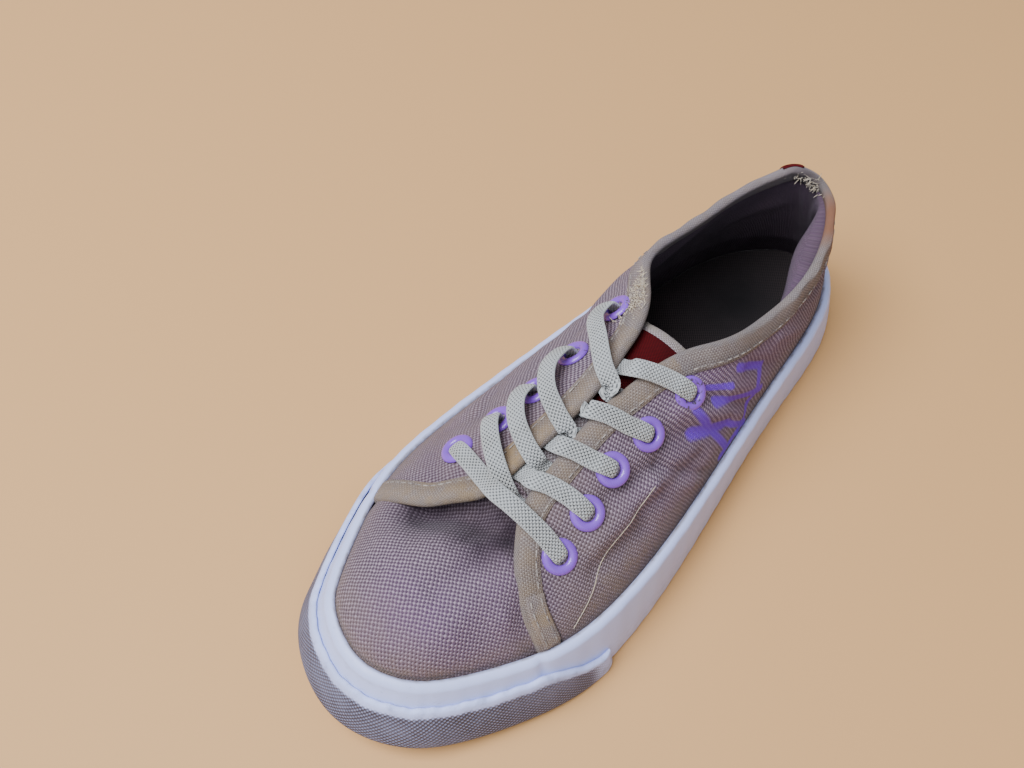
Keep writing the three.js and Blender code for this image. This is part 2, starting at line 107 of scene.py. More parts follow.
# Closed cubic B-spline: four neighbouring handles blended by the cubic weights of the fraction of s
def sectionAt(s):
    s = np.asarray(s, float)
    i = np.floor(s).astype(int)
    t = (s - i)[..., None]
    weights = [(1 - t) ** 3, 3 * t ** 3 - 6 * t * t + 4, -3 * t ** 3 + 3 * t * t + 3 * t + 1, t ** 3]
    return sum(weight * handles[(i - 1 + n) % around] for n, weight in enumerate(weights)) / 6


# Outward way in plan: the outline's slope, turned by a quarter
def outwardAt(s):
    d = sectionAt(s + 0.01) - sectionAt(s - 0.01)
    side = np.stack([-d[..., 1], d[..., 0]], -1)
    return side / np.linalg.norm(side, axis=-1, keepdims=True)


# Height of the sole's underside: a parabola from under the ball to the toe, and a shallow arch
def floorHeight(x):
    share = x / shoe["length"]
    spring = shoe["toeSpring"] * (np.maximum(share - 0.62, 0) / 0.38) ** 2
    return spring + shoe["archRise"] * easeStep((share - 0.28) / 0.1) * easeStep((0.54 - share) / 0.1)


# Height of the rim: level at the heel, then rising to the toe as a power of the length
def rimHeight(x):
    return shoe["bandHeight"] + shoe["bandRise"] * (np.maximum(x / shoe["length"] - 0.38, 0) / 0.62) ** 1.8


# How far the side leans in at the rim: most at the toe, and a little at the heel
def lean(x):
    heel = 3.4 * np.maximum(1 - x / 74, 0) ** 2
    return 1.8 + heel + 8.3 * (np.maximum(x / shoe["length"] - 0.33, 0) / 0.67) ** 1.7


# The rubber band's side: k runs from the floor (0) to the rim (1) and leans in as k to the power 1.3
def sidePoint(s, k, depth):
    s, k, depth = np.broadcast_arrays(np.asarray(s, float), k, depth)
    row = sectionAt(s)
    out = outwardAt(s)
    inset = lean(row[..., 0]) * np.maximum(k, 0) ** 1.3 + depth
    low = floorHeight(row[..., 0])
    xy = row[..., :2] - out * inset[..., None]
    return np.concatenate([xy, (low + k * (rimHeight(row[..., 0]) - low))[..., None]], -1)


# The last: from the band's rim (w 0) to the collar or ridge (w 1) a rib is part straight line and part
# quarter ellipse; below 0 it goes down inside the band
def lastPoint(s, w):
    s, w = np.broadcast_arrays(np.asarray(s, float), np.asarray(w, float))
    row = sectionAt(s)
    wall = shoe["bandThick"] + shoe["gap"]
    foot = sidePoint(s, 1.0, wall)
    bottom = shoe["soleTop"] / (rimHeight(row[..., 0]) - floorHeight(row[..., 0]))
    below = sidePoint(s, 1 + np.minimum(w, 0) * (1 - bottom), wall)
    rnd = row[..., 5]
    v = np.maximum(w, 0)
    across = (1 - rnd) * v + rnd * (1 - np.cos(v * np.pi / 2))
    up = (1 - rnd) * v + rnd * np.sin(v * np.pi / 2)
    rib = foot + (row[..., 2:5] - foot) * np.stack([across, across, up], -1)
    return np.where((w < 0)[..., None], below, rib)


# Vectors brought to length 1
def unit(v):
    return v / np.maximum(np.linalg.norm(v, axis=-1, keepdims=True), 1e-9)


# Sum of the products of the parts, row by row
def dot(a, b):
    return np.einsum("...i,...i->...", a, b)


# The part of v that is square to an axis, brought to length 1
def squareTo(v, axis):
    return unit(v - axis * dot(v, axis)[..., None])


# Length along a row of points, from its first to each
def lengthsAlong(points):
    return np.concatenate([[0], np.cumsum(np.linalg.norm(np.diff(points, axis=0), axis=1))])


# Normal of the last: the cross product of its slopes along s and w, turned outwards
def lastNormal(s, w):
    s, w = np.broadcast_arrays(np.asarray(s, float), np.asarray(w, float))
    step = 0.01
    way = lastPoint(s + step, w) - lastPoint(s - step, w)
    rise = lastPoint(s, w + step) - lastPoint(s, np.maximum(w - step, 0))
    normal = unit(np.cross(rise, way))
    out = outwardAt(s)
    facing = dot(normal[..., :2], out) + normal[..., 2] * 0.8
    normal = np.where((facing < 0)[..., None], -normal, normal)
    flat = np.concatenate([out, np.zeros(out.shape[:-1] + (1,))], -1)
    return np.where((w < 0)[..., None], flat, normal)


# Soft folds and swellings of the canvas: from, to, half width, height (minus is a trough), all in mm
canvasFolds = [
    ((160, -6, 42), (170, 8, 40), 7.0, -2.2), ((184, -14, 36), (196, -2, 36), 9.0, 0.8),
    ((176, -14, 38), (188, -22, 33), 7.0, -1.0), ((186, 4, 38), (196, 14, 34), 8.0, 0.7),
    ((158, 22, 36), (171, 26, 31), 6.0, -1.0), ((166, -18, 38), (158, -28, 33), 6.0, -1.0),
    ((152, 31, 31), (134, 31, 30), 3.4, -1.3), ((148, 27, 35), (126, 27, 36), 3.2, 1.1),
    ((138, 22, 41), (120, 25, 40), 3.2, -1.3), ((132, 29, 34), (106, 30, 31), 3.0, -1.0),
    ((121, 25, 39), (103, 33, 21), 1.5, -1.0), ((124, 27, 36), (108, 33, 21), 2.6, 0.8),
    ((116, 22, 44), (92, 29, 30), 3.6, -1.5), ((106, 20, 46), (84, 30, 27), 3.0, 1.2),
    ((97, 22, 44), (76, 31, 23), 2.6, -1.2), ((88, 24, 40), (68, 30, 23), 3.0, 1.0),
    ((78, 24, 40), (60, 28, 26), 2.4, -1.1), ((62, 22, 38), (44, 24, 27), 3.0, 1.0),
    ((52, 20, 40), (30, 20, 34), 2.4, -1.1), ((34, 20, 42), (14, 15, 42), 2.6, 0.9),
    ((24, 19, 32), (8, 11, 36), 2.2, -0.9), ((12, -10, 40), (30, -21, 34), 3.0, -0.9),
    ((30, -22, 40), (48, -25, 28), 2.8, 0.9), ((60, -24, 40), (90, -25, 38), 3.6, 1.0),
    ((66, -22, 44), (84, -30, 28), 2.6, -1.1), ((96, -24, 40), (126, -22, 42), 3.4, -1.1),
    ((96, -30, 30), (118, -28, 36), 3.0, 0.9), ((110, -30, 30), (142, -30, 31), 4.0, 0.8),
    ((126, -30, 30), (146, -24, 38), 2.6, -1.0), ((140, -24, 38), (152, -32, 30), 3.4, -0.9),
    ((46, -22, 44), (66, -27, 30), 2.6, -1.0),
]

# Deep hollow where the vamp goes under the throat, and the puckers that leave it
vampFolds = [
    ((173, -15, 38), (160, 7, 41), 7.4, -6.4), ((163, 12, 40), (166, 20, 36), 3.4, -2.0),
    ((172, 19, 35), (178, 22, 32), 4.4, 1.2), ((173, 9, 39), (186, 6, 38), 3.4, -1.0),
    ((176, 15, 37), (190, 15, 34), 4.6, 0.9), ((182, -9, 39), (193, -11, 37), 4.0, -0.7),
]


# Distance of points to the straight line from start to end
def lineDistance(points, start, end):
    start, end = np.array(start, float), np.array(end, float)
    way = end - start
    t = np.clip(((points - start) @ way) / (way @ way), 0, 1)
    return np.linalg.norm(points - start - t[..., None] * way, axis=-1)


# Sum over the folds of height times exp(-(distance to the fold's line / width) squared)
def foldHeight(points, folds):
    return sum(height * bump(lineDistance(points, start, end), 0, width)
               for start, end, width, height in folds)


# A point of the canvas: the last, moved along its normal by an offset and by the folds, which die out
# towards the rubber band
def skin(s, w, offset):
    s, w, offset = np.broadcast_arrays(np.asarray(s, float), np.asarray(w, float), np.asarray(offset, float))
    base = lastPoint(s, w)
    raised = foldHeight(base, canvasFolds) * easeStep(w / 0.16)
    return base + lastNormal(s, w) * (offset + raised)[..., None]


# Foot millimetres to the frame's metres
def toFrame(points):
    return (points + origin) * 0.001


# A piece from points in mm and quads, smooth, with its cloth coordinates and its wear; welding joins the
# points that coincide
def addMesh(name, points, faces, material, uv=None, wear=None, weld=False):
    mesh = bpy.data.meshes.new(name)
    points = toFrame(np.asarray(points, float).reshape(-1, 3))
    faces = np.asarray(faces, np.int32)
    mesh.vertices.add(len(points))
    mesh.vertices.foreach_set("co", points.astype(np.float32).ravel())
    mesh.loops.add(faces.size)
    mesh.loops.foreach_set("vertex_index", faces.ravel())
    mesh.polygons.add(len(faces))
    mesh.polygons.foreach_set("loop_start", np.arange(len(faces), dtype=np.int32) * faces.shape[1])
    mesh.polygons.foreach_set("use_smooth", np.full(len(faces), True))
    if uv is not None:
        layer = mesh.uv_layers.new(name="cloth")
        layer.data.foreach_set("uv", np.asarray(uv, np.float32).reshape(-1, 2)[faces.ravel()].ravel())
    if wear is not None:
        layer = mesh.color_attributes.new(name="wear", type="FLOAT_COLOR", domain="POINT")
        layer.data.foreach_set("color", np.asarray(wear, np.float32).ravel())
    mesh.update(calc_edges=True)
    mesh.validate()
    if weld:
        work = bmesh.new()
        work.from_mesh(mesh)
        bmesh.ops.remove_doubles(work, verts=work.verts, dist=1e-6)
        work.to_mesh(mesh)
        work.free()
    piece = bpy.data.objects.new(name, mesh)
    bpy.context.collection.objects.link(piece)
    mesh.materials.append(material)
    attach(piece, "root")
    return piece


# Quads turned outwards: the volume that they enclose, a times (b x c + c x d) summed, is then above 0
def outwardFaces(points, faces):
    points = points - points.mean(0)
    a, b, c, d = (points[faces[:, n]] for n in range(4))
    volume = dot(a, np.cross(b, c) + np.cross(c, d)).sum()
    return faces if volume > 0 else faces[:, ::-1]


# Quads of a grid whose points are numbered row by row; both ways can be closed
def gridFaces(rows, columns, closedRows=False, closedColumns=False):
    i = np.arange(rows if closedRows else rows - 1)[:, None]
    j = np.arange(columns if closedColumns else columns - 1)[None, :]
    i2, j2 = (i + 1) % rows, (j + 1) % columns
    quads = [i * columns + j, i2 * columns + j, i2 * columns + j2, i * columns + j2]
    return np.stack([np.broadcast_to(q, (i.size, j.size)) for q in quads], -1).reshape(-1, 4)


# Two grids, outer and inner, joined round their four edges, but not at a first row that is folded shut
def shellFaces(rows, columns, folded):
    size = rows * columns
    outer = gridFaces(rows, columns)
    index = np.arange(size).reshape(rows, columns)
    border = np.concatenate([index[0, :-1], index[:-1, -1], index[-1, :0:-1], index[:0:-1, 0]])
    after = np.roll(border, -1)
    side = np.stack([border, after, after + size, border + size], -1)
    return np.concatenate([outer, (outer + size)[:, ::-1], side[columns - 1 if folded else 0:]])


# A sheet with a thickness, from the grids of its two faces
def addShell(name, outer, inner, material, uv=None, wear=None, folded=False):
    points = np.concatenate([outer.reshape(-1, 3), inner.reshape(-1, 3)])
    faces = outwardFaces(points, shellFaces(*outer.shape[:2], folded))
    if uv is not None:
        uv = np.concatenate([uv.reshape(-1, 2)] * 2)
    if wear is not None:
        wear = np.concatenate([wear.reshape(-1, 4)] * 2)
    return addMesh(name, points, faces, material, uv, wear, folded)


# Faces of a tube; where it isn't a ring, quads between the two halves of its profile close its ends
def tubeFaces(rows, columns, ring=False):
    faces = gridFaces(rows, columns, closedRows=ring, closedColumns=True)
    if ring:
        return faces
    half = np.arange(columns // 2 - 1)
    start = np.stack([half, columns - 1 - half, columns - 2 - half, half + 1], -1)
    return np.concatenate([faces, start, start[:, ::-1] + (rows - 1) * columns])


# A closed profile carried along stations: rows are stations, columns go round the profile
def addTube(name, grid, material, uv=None, wear=None, ring=False):
    points = grid.reshape(-1, 3)
    faces = outwardFaces(points, tubeFaces(*grid.shape[:2], ring))
    return addMesh(name, points, faces, material, uv, wear)


# Many small closed tubes at once: rows are pieces, then stations, then the points round each
def addThreads(name, grids, material):
    count, rows, columns = grids.shape[:3]
    points = grids.reshape(-1, 3)
    first = (np.arange(count) * rows * columns)[:, None, None]
    faces = (tubeFaces(rows, columns)[None] + first).reshape(-1, 4)
    return addMesh(name, points, outwardFaces(points, faces), material)


# Circles with a radius of 1: cos times side plus sin times up
def circles(side, up, count):
    turn = np.linspace(0, 2 * np.pi, count, endpoint=False)[:, None]
    return side[..., None, :] * np.cos(turn) + up[..., None, :] * np.sin(turn)


stitch = {"long": 2.0, "wide": 0.42, "high": 0.34}


# Sewn stitches: capsules whose long axis lies along the way, thinnest along the normal
def stitchGrids(middles, ways, normals):
    long = np.array([-1, -0.84, 0, 0.84, 1])[:, None, None] * stitch["long"] / 2
    fat = np.array([0.3, 0.85, 1, 0.85, 0.3])[:, None, None]
    turn = (np.arange(6)[:, None] + 0.5) * np.pi / 3
    side = np.cross(ways, normals)[:, None, None] * np.cos(turn) * stitch["wide"] / 2
    up = normals[:, None, None] * np.sin(turn) * stitch["high"] / 2
    return middles[:, None, None] + ways[:, None, None] * long + (side + up) * fat


# Loose fibres: each leaves its root along its way and curls off to one side, as the square of its share
def fibreGrids(roots, ways, curls, length, radius):
    share = np.linspace(0, 1, 6)[None, :, None]
    path = roots[:, None] + (ways[:, None] * share + curls[:, None] * share ** 2) * length[:, None, None]
    way = unit(np.gradient(path, axis=1))
    side = unit(np.cross(way, [0.3, 0.5, 0.8]))
    return path[:, :, None] + circles(side, np.cross(way, side), 6) * (radius * (1 - 0.6 * share))[..., None]


# Cloth coordinates, in mm
def clothOf(u, v):
    return np.stack(np.broadcast_arrays(u, v), -1)


# Up to four shares of wear, between 0 and 1; what they stand for is up to the material
def wearOf(*shares):
    return np.clip(np.stack(np.broadcast_arrays(*shares, *[0.0] * (4 - len(shares))), -1), 0, 1)


# Colours are given as they look on a screen, 0 to 255, and turned into amounts of light
def paint(r, g, b):
    c = np.array([r, g, b]) / 255
    linear = np.where(c <= 0.04045, c / 12.92, ((c + 0.055) / 1.055) ** 2.4)
    return (*[float(v) for v in linear], 1.0)


# A material under work: each call adds a node and gives its output
class Finish:
    def __init__(self, name, roughness, specular, sheen=0.0, coat=0.0):
        self.material = bpy.data.materials.new(name)
        self.material.use_nodes = True
        self.tree = self.material.node_tree
        self.shader = self.tree.nodes["Principled BSDF"]
        self.shader.inputs["Roughness"].default_value = roughness
        self.shader.inputs["Specular IOR Level"].default_value = specular
        self.shader.inputs["Sheen Weight"].default_value = sheen
        self.shader.inputs["Coat Weight"].default_value = coat
        where = self.tree.nodes.new("ShaderNodeTexCoord")
        self.uv, self.place = where.outputs["UV"], where.outputs["Object"]

    def put(self, node, socket, value):
        if isinstance(value, bpy.types.NodeSocket):
            self.tree.links.new(value, node.inputs[socket])
        else:
            node.inputs[socket].default_value = value

    def add(self, kind, sockets, **settings):
        node = self.tree.nodes.new(kind)
        for setting, value in settings.items():
            setattr(node, setting, value)
        for socket, value in sockets.items():
            self.put(node, socket, value)
        return node.outputs

    def math(self, operation, a, b=0.0):
        return self.add("ShaderNodeMath", {0: a, 1: b}, operation=operation)[0]

    def times(self, a, b):
        return self.math("MULTIPLY", a, b)

    def mix(self, share, a, b):
        return self.add("ShaderNodeMix", {0: share, 6: a, 7: b}, data_type="RGBA")[2]

    def scaled(self, vector, factors):
        return self.add("ShaderNodeMapping", {0: vector, "Scale": factors})[0]

    def noise(self, vector, scale, detail):
        sockets = {"Vector": vector, "Scale": scale, "Detail": detail, "Roughness": 0.55}
        return self.add("ShaderNodeTexNoise", sockets)["Fac"]

    # A smooth step between two values, from one result to another
    def band(self, value, low, high, to=(0.0, 1.0)):
        sockets = {0: value, 1: low, 2: high, 3: to[0], 4: to[1]}
        return self.add("ShaderNodeMapRange", sockets, interpolation_type="SMOOTHSTEP")[0]

    # A share that is broken up by a band of a noise
    def patchy(self, share, noise, low, high, to):
        return self.times(share, self.band(noise, low, high, to))

    def wear(self):
        found = self.add("ShaderNodeVertexColor", {}, layer_name="wear")
        split = self.add("ShaderNodeSeparateColor", {0: found["Color"]})
        return split[0], split[1], split[2], found["Alpha"]

    def done(self, colour, height=None, depth=0.0, strength=0.0, roughness=None):
        self.put(self.shader, "Base Color", colour)
        if roughness is not None:
            self.put(self.shader, "Roughness", roughness)
        if height is not None:
            relief = self.add("ShaderNodeBump", {"Strength": strength, "Distance": depth, "Height": height})
            self.put(self.shader, "Normal", relief[0])
        return self.material


# Plain weave: sin(pi u / pitch) times sin(pi v / pitch) is a chequerboard of floats, plus where the weft
# is on top and minus where the warp is; slow noise makes the threads wander
def weave(finish, pitch, wander=0.0):
    u, v, _ = finish.add("ShaderNodeSeparateXYZ", {0: finish.uv})
    if wander:
        sway = finish.noise(finish.scaled(finish.uv, (0.45, 0.16, 1)), 1.0, 1)
        lag = finish.noise(finish.scaled(finish.uv, (0.16, 0.45, 1)), 1.0, 1)
        u = finish.math("ADD", u, finish.times(sway, wander))
        v = finish.math("ADD", v, finish.times(lag, wander))
    across, down = (finish.math("SINE", finish.times(way, np.pi / pitch)) for way in (u, v))
    return finish.times(across, down)


# The dark colour serves the slubs, grime and painted shade
canvasLook = {
    "pitch": 0.72, "weft": paint(170, 152, 163), "warp": paint(84, 69, 79), "lilac": paint(148, 98, 164),
    "soil": paint(128, 110, 96), "grimeAndShade": paint(32, 20, 31), "ink": paint(112, 52, 214), "wander": 0.7,
}


# Canvas: weave, large soft patches of lilac dye left and of brown soil, dark grime and painted shade in the
# troughs and
#  hollows, ink with a ragged edge; the wear attribute says where (red soil, green dye, blue ink, alpha grime
#  and painted shade)
def canvasMaterial(name, look):
    finish = Finish(name, roughness=0.95, specular=0.12, sheen=0.08)
    soil, dye, ink, grimeAndShade = finish.wear()
    threads = weave(finish, look["pitch"], look["wander"])
    slub = finish.noise(finish.scaled(finish.uv, (0.5, 2.6, 1)), 1.0, 2)
    patch = finish.noise(finish.place, 38.0, 4)
    fine = finish.noise(finish.place, 260.0, 3)
    colour = finish.mix(finish.band(threads, -0.5, 0.8), look["warp"], look["weft"])
    colour = finish.mix(finish.band(slub, 0.3, 0.75, (0.0, 0.35)), colour, look["grimeAndShade"])
    dyed = finish.mix(0.5, colour, look["lilac"])
    colour = finish.mix(finish.patchy(dye, patch, 0.35, 0.7, (0.35, 1.0)), colour, dyed)
    colour = finish.mix(finish.patchy(soil, fine, 0.25, 0.7, (0.45, 1.0)), colour, look["soil"])
    # Grime and painted shade: darker where the wear's alpha says
    colour = finish.mix(finish.patchy(grimeAndShade, patch, 0.3, 0.7, (0.5, 1.0)), colour, look["grimeAndShade"])
    ragged = finish.math("ADD", ink, finish.times(finish.math("SUBTRACT", fine, 0.5), 0.25))
    colour = finish.mix(finish.band(ragged, 0.1, 0.95, (0.0, 0.8)), colour, look["ink"])
    height = finish.math("ADD", finish.math("ABSOLUTE", threads), finish.times(slub, 0.6))
    return finish.done(colour, height, depth=0.00022, strength=0.9)


canvas = canvasMaterial("faded_canvas", canvasLook)
print("canvas ready")

# Edges of the quarters as tables: the throat by section, and the front edges by height
throatOuter = np.array([[5.6, 1], [6.3, 1], [6.55, 0.962], [7.02, 0.89], [7.35, 0.89], [7.84, 0.9],
                        [8.34, 0.894], [8.69, 0.877], [9.02, 0.82], [9.5, 0.8]])
throatInner = np.array([[16.4, 0.86], [16.94, 0.883], [17.4, 0.925], [17.99, 0.943], [18.82, 0.92],
                        [19.26, 0.92], [19.58, 0.962], [20.08, 1], [20.6, 1]])
frontOuter = np.array([[0, 9.42], [0.3, 9.45], [0.45, 9.43], [0.7, 9.24], [0.82, 9.02], [1, 8.7]])
frontInner = np.array([[0, 16.5], [0.3, 16.47], [0.566, 16.5], [0.68, 16.56], [0.8, 16.75], [0.883, 16.94],
                       [1, 17.3]])


# Value of a table at x, by straight lines between its rows
def along(table, x):
    return np.interp(x, table[:, 0], table[:, 1])


# Share of the rib that the cloth's edge reaches at a section
def topShare(s):
    return np.where(s >= 0, along(throatOuter, s), along(throatInner, s + around))


# Sections of the outer and the inner front edge at a share of the way up to the throat
def frontSections(up):
    up = np.clip(up, 0, 1)
    return along(frontOuter, up * 0.86), along(frontInner, up * 0.9) - around


# Section of a quarter's point: from the inner front edge (a 0), negative round the heel, to the outer (a 1)
def quarterSection(a, b):
    outer, inner = frontSections(b)
    return inner + (outer - inner) * a


# Cloth coordinates u, v turned by an angle
def turned(u, v, angle):
    return clothOf(u * np.cos(angle) - v * np.sin(angle), u * np.sin(angle) + v * np.cos(angle))


rimWay = np.linspace(-10, 10, 401)
rimLength = lengthsAlong(lastPoint(rimWay, 0.35))


# Length of a rib: straight from the rim to the ridge, and a little more for its bend
def ribLength(s):
    return np.linalg.norm(lastPoint(s, 1.0) - lastPoint(s, 0.0), axis=-1) * 1.05


# Cloth coordinates of the quarters: length round the shoe and height up the rib
def quarterCloth(s, w):
    return turned(np.interp(s, rimWay, rimLength), w * ribLength(s), -0.16)


# Felt-pen strokes on the outer quarter: from x, z to x, z and half width
inkStrokes = [
    ((83, 44), (71, 34), 1.5), ((71, 34), (77, 28), 1.7), ((77, 28), (86, 20), 1.5),
    ((84, 21), (97, 21), 1.5), ((96, 46), (88, 42), 1.1), ((95, 41), (73, 27), 1.5),
    ((106, 38), (92, 30), 2.2), ((92, 30), (82, 20), 1.4), ((103, 45), (99, 34), 1.6),
    ((99, 34), (94, 23), 1.5),
]


# Ink on the outer side: 1 on each stroke's line, with a soft edge past its half width
def inkShare(points):
    share = np.zeros(points.shape[:-1])
    for start, end, width in inkStrokes:
        distance = lineDistance(points[..., [0, 2]], start, end)
        share = np.maximum(share, 1 - easeStep((distance - width * 0.3) / (width * 1.1)))
    return np.where(points[..., 1] > 0, share, 0)


# Bell round a place in plan
def spot(points, x, y, width):
    return bump(np.hypot(points[..., 0] - x, points[..., 1] - y), 0, width)


# How soiled, dyed, inked and darkened by grime and painted shade the canvas is at a point, by its place on
# the shoe
def canvasWear(points, w, folds):
    x, y, z = points[..., 0], points[..., 1], points[..., 2]
    soil = 0.55 * bump(w, 0.0, 0.2) + 0.35 * easeStep((x - 190) / 18) + 0.3 * bump(x, 150, 20)
    soil = soil + 0.35 * easeStep((34 - x) / 24)
    dye = 0.1 + 0.3 * spot(points, 180, 16, 15) + 0.25 * spot(points, 196, 2, 12)
    dye = dye + 0.35 * (z > 26) * bump(x, 92, 34) * (y > 0) + 0.2 * spot(points, 150, -30, 16)
    # Painted shade in the folds' troughs, darker the deeper they are, and grime along the rim
    grimeAndShade = np.clip(-folds * 0.17, 0, 0.8) + 0.35 * bump(w, 0.0, 0.07)
    # Painted shadow: a dark patch in the vamp's hollow just under the inner quarter's front edge and its
    # binding
    grimeAndShade = grimeAndShade + 0.75 * (x > 158) * bump(np.hypot((x - 169) + 0.45 * (y + 6), (y + 4) * 0.45), 0, 7)
    return wearOf(soil, dye, inkShare(points), grimeAndShade)


upperParts = {
    "clothThick": 0.9, "wall": 1.9, "inset": 0.035, "columns": (190, 190, 40), "rows": 84,
    "fine": (0.62, 0.9),
}


# The quarters as one sheet: a runs round the heel, denser over the outer side, and b up the rib
def makeQuarters():
    part = upperParts
    start, end = part["fine"]
    a = np.concatenate([np.linspace(0, start, part["columns"][0], endpoint=False),
                        np.linspace(start, end, part["columns"][1], endpoint=False),
                        np.linspace(end, 1, part["columns"][2])])
    a = part["inset"] * 0.5 + a * (1 - part["inset"])
    a, b = np.meshgrid(a, np.concatenate([[-0.35, -0.1], np.linspace(0, 0.97, part["rows"])]))
    s = quarterSection(a, b)
    w = np.where(b > 0, b * topShare(s), b)
    outer = skin(s, w, 0.0)
    wear = canvasWear(outer, w, foldHeight(lastPoint(s, w), canvasFolds))
    inner = skin(s, w, -part["clothThick"])
    return addShell("quarters", outer, inner, canvas, quarterCloth(s, w), wear)


# Averages neighbours across the ridge a few times, so that the vamp's two sides meet softly
def soften(grid, share, rounds):
    for _ in range(rounds):
        smooth = (np.roll(grid, 1, 1) + np.roll(grid, -1, 1) + 2 * grid) / 4
        grid = grid + (smooth - grid) * share
    return grid


# Cloth coordinates of the vamp: the direction in plan from its middle, times the distance down the slope
def vampCloth(points):
    d = points - np.array([170, 1.5, 42])
    flat = d[..., 0] ** 2 + d[..., 1] ** 2
    scale = np.sqrt(1 + d[..., 2] ** 2 / (flat + 60))
    return turned(d[..., 0] * scale, d[..., 1] * scale, 0.2)


vampPart = {
    "wall": 1.4, "reach": 4.3, "below": 1.22, "rows": 190, "columns": 221, "drop": 1.0, "dropFrom": 3.15,
    "dropOver": 0.45, "ridge": 0.4, "rounds": 260,
}


# The vamp's grid: reach from the toe's section and q from rim to ridge to rim; its first row is folded shut,
# its ridge is softened and its rear drops under the quarters
def vampGrid(depth):
    part = vampPart
    reach = np.linspace(0, part["reach"], part["rows"])[:, None]
    q = np.linspace(-part["below"], part["below"], part["columns"])[None, :]
    side = np.where(q < 0, -1.0, 1.0)
    s = shoe["toeSection"] + side * reach
    w = 1 - np.abs(q) + 0 * reach
    sink = part["drop"] * easeStep((reach - part["dropFrom"]) / part["dropOver"]) + 0 * q
    flat = lastPoint(s, np.where(w < 0, w * 1.4, w))
    raised = foldHeight(flat, canvasFolds + vampFolds) * easeStep(w / 0.16)
    normal = lastNormal(s, np.minimum(w, 0.985))
    ridge = np.clip(1 - (np.abs(q) + 0 * reach) / part["ridge"], 0, 1)[..., None] ** 0.5
    flat = soften(flat, ridge, part["rounds"])
    normal = unit(soften(normal, ridge, part["rounds"]))
    return flat + normal * (raised - sink - depth)[..., None], w, vampCloth(flat), raised


# Vamp: the canvas over the toes, whose rear goes down under the quarters
def makeVamp():
    outer, w, cloth, raised = vampGrid(0.0)
    inner = vampGrid(vampPart["wall"])[0]
    return addShell("vamp", outer, inner, canvas, cloth, canvasWear(outer, w, raised), folded=True)


upperPieces = [makeQuarters(), makeVamp()]
print("quarters and vamp ready")


# Binding: a folded tape over the quarters' edges
binding = {
    "reach": 5.6, "innerReach": 3.8, "rise": 0.5, "wall": 1.9, "stations": 620, "rounds": 40, "girth": 17.0,
}
bindingLook = {
    "pitch": 0.5, "weft": paint(168, 161, 160), "warp": paint(108, 101, 106), "lilac": paint(178, 160, 190),
    "soil": paint(150, 126, 96), "grimeAndShade": paint(46, 38, 42), "ink": paint(142, 88, 54), "wander": 0.5,
}
tape = canvasMaterial("binding_tape", bindingLook)


# The edge as sections and shares of the rib: up the outer front, along the throat and collar round the
# heel, and down the inner front; its corners are rounded by averaging neighbours
def edgePath():
    up = np.linspace(-0.06, 1, 90)
    outerS, innerS = frontSections(up)
    over = np.linspace(outerS[-1], innerS[-1], 700)[1:-1]
    s = np.concatenate([outerS, over, innerS[::-1]])
    w = np.concatenate([up * topShare(outerS), topShare(over), (up * topShare(innerS))[::-1]])
    length = lengthsAlong(lastPoint(s, w))
    even = np.linspace(0, length[-1], binding["stations"])
    path = np.stack([np.interp(even, length, s), np.interp(even, length, w)], -1)
    kept = path.copy()
    for _ in range(binding["rounds"]):
        path[1:-1] = (path[:-2] + 2 * path[1:-1] + path[2:]) / 4
    fade = np.clip(np.minimum(even, even[-1] - even) / 8, 0, 1)[:, None]
    return kept * (1 - fade) + path * fade, even


edge, edgeLength = edgePath()


# The way inwards across the cloth from each edge point: square to the edge and in the surface, in mm and,
# from two equations with the slopes along s and w, in sections and shares
def edgeInward():
    s, w = edge.T
    step = 0.004
    alongS = (lastPoint(s + step, w) - lastPoint(s - step, w)) / (2 * step)
    alongW = (lastPoint(s, w) - lastPoint(s, w - step)) / step
    way = unit(np.gradient(lastPoint(s, w), axis=0))
    inward = unit(np.cross(lastNormal(s, w), way))
    a11, a12, a22 = dot(alongS, alongS), dot(alongS, alongW), dot(alongW, alongW)
    b1, b2 = dot(alongS, inward), dot(alongW, inward)
    determinant = a11 * a22 - a12 * a12
    ds = (b1 * a22 - b2 * a12) / determinant
    dw = (b2 * a11 - b1 * a12) / determinant
    sign = -1 if dw[len(dw) // 2] > 0 else 1
    return sign * inward, sign * ds, sign * dw


inward, inwardS, inwardW = edgeInward()


# Points at a distance from the edge, which lie on the canvas inside it
def nearEdge(distance, offset, rows=slice(None)):
    s = edge[rows, :1] + inwardS[rows, None] * distance
    w = edge[rows, 1:] + inwardW[rows, None] * distance
    return skin(s, w, offset), s, w


# Wear of the binding: orange brown on the outer collar beside the heel, a dark worn place on its inside at
# the back, and beige pilling where collar and inner throat meet
def bindingWear(points, across):
    x, y, z = points[..., 0], points[..., 1], points[..., 2]
    soil = 0.3 + 0.5 * bump(x, 150, 18) * (y < 0) + 0.25 * (x > 100) + 0.35 * spot(points, 90, -12, 9)
    stain = bump(np.hypot((x - 27) * 0.42, (y - 11) * 0.6), 0, 5) * easeStep((y - 1) / 4) * (z > 30)
    hole = bump(np.hypot(x - 18.6, (y + 1.5) * 0.6), 0, 3.4) * easeStep((across - 0.35) / 0.1)
    grimeAndShade = 0.3 * bump(across, 0.1, 0.08) + 0.35 * easeStep((across - 0.55) / 0.2) + 0.9 * hole
    return wearOf(soil, 0.1 + 0.3 * (x < 90) * (y < 0), 0.95 * stain, grimeAndShade)


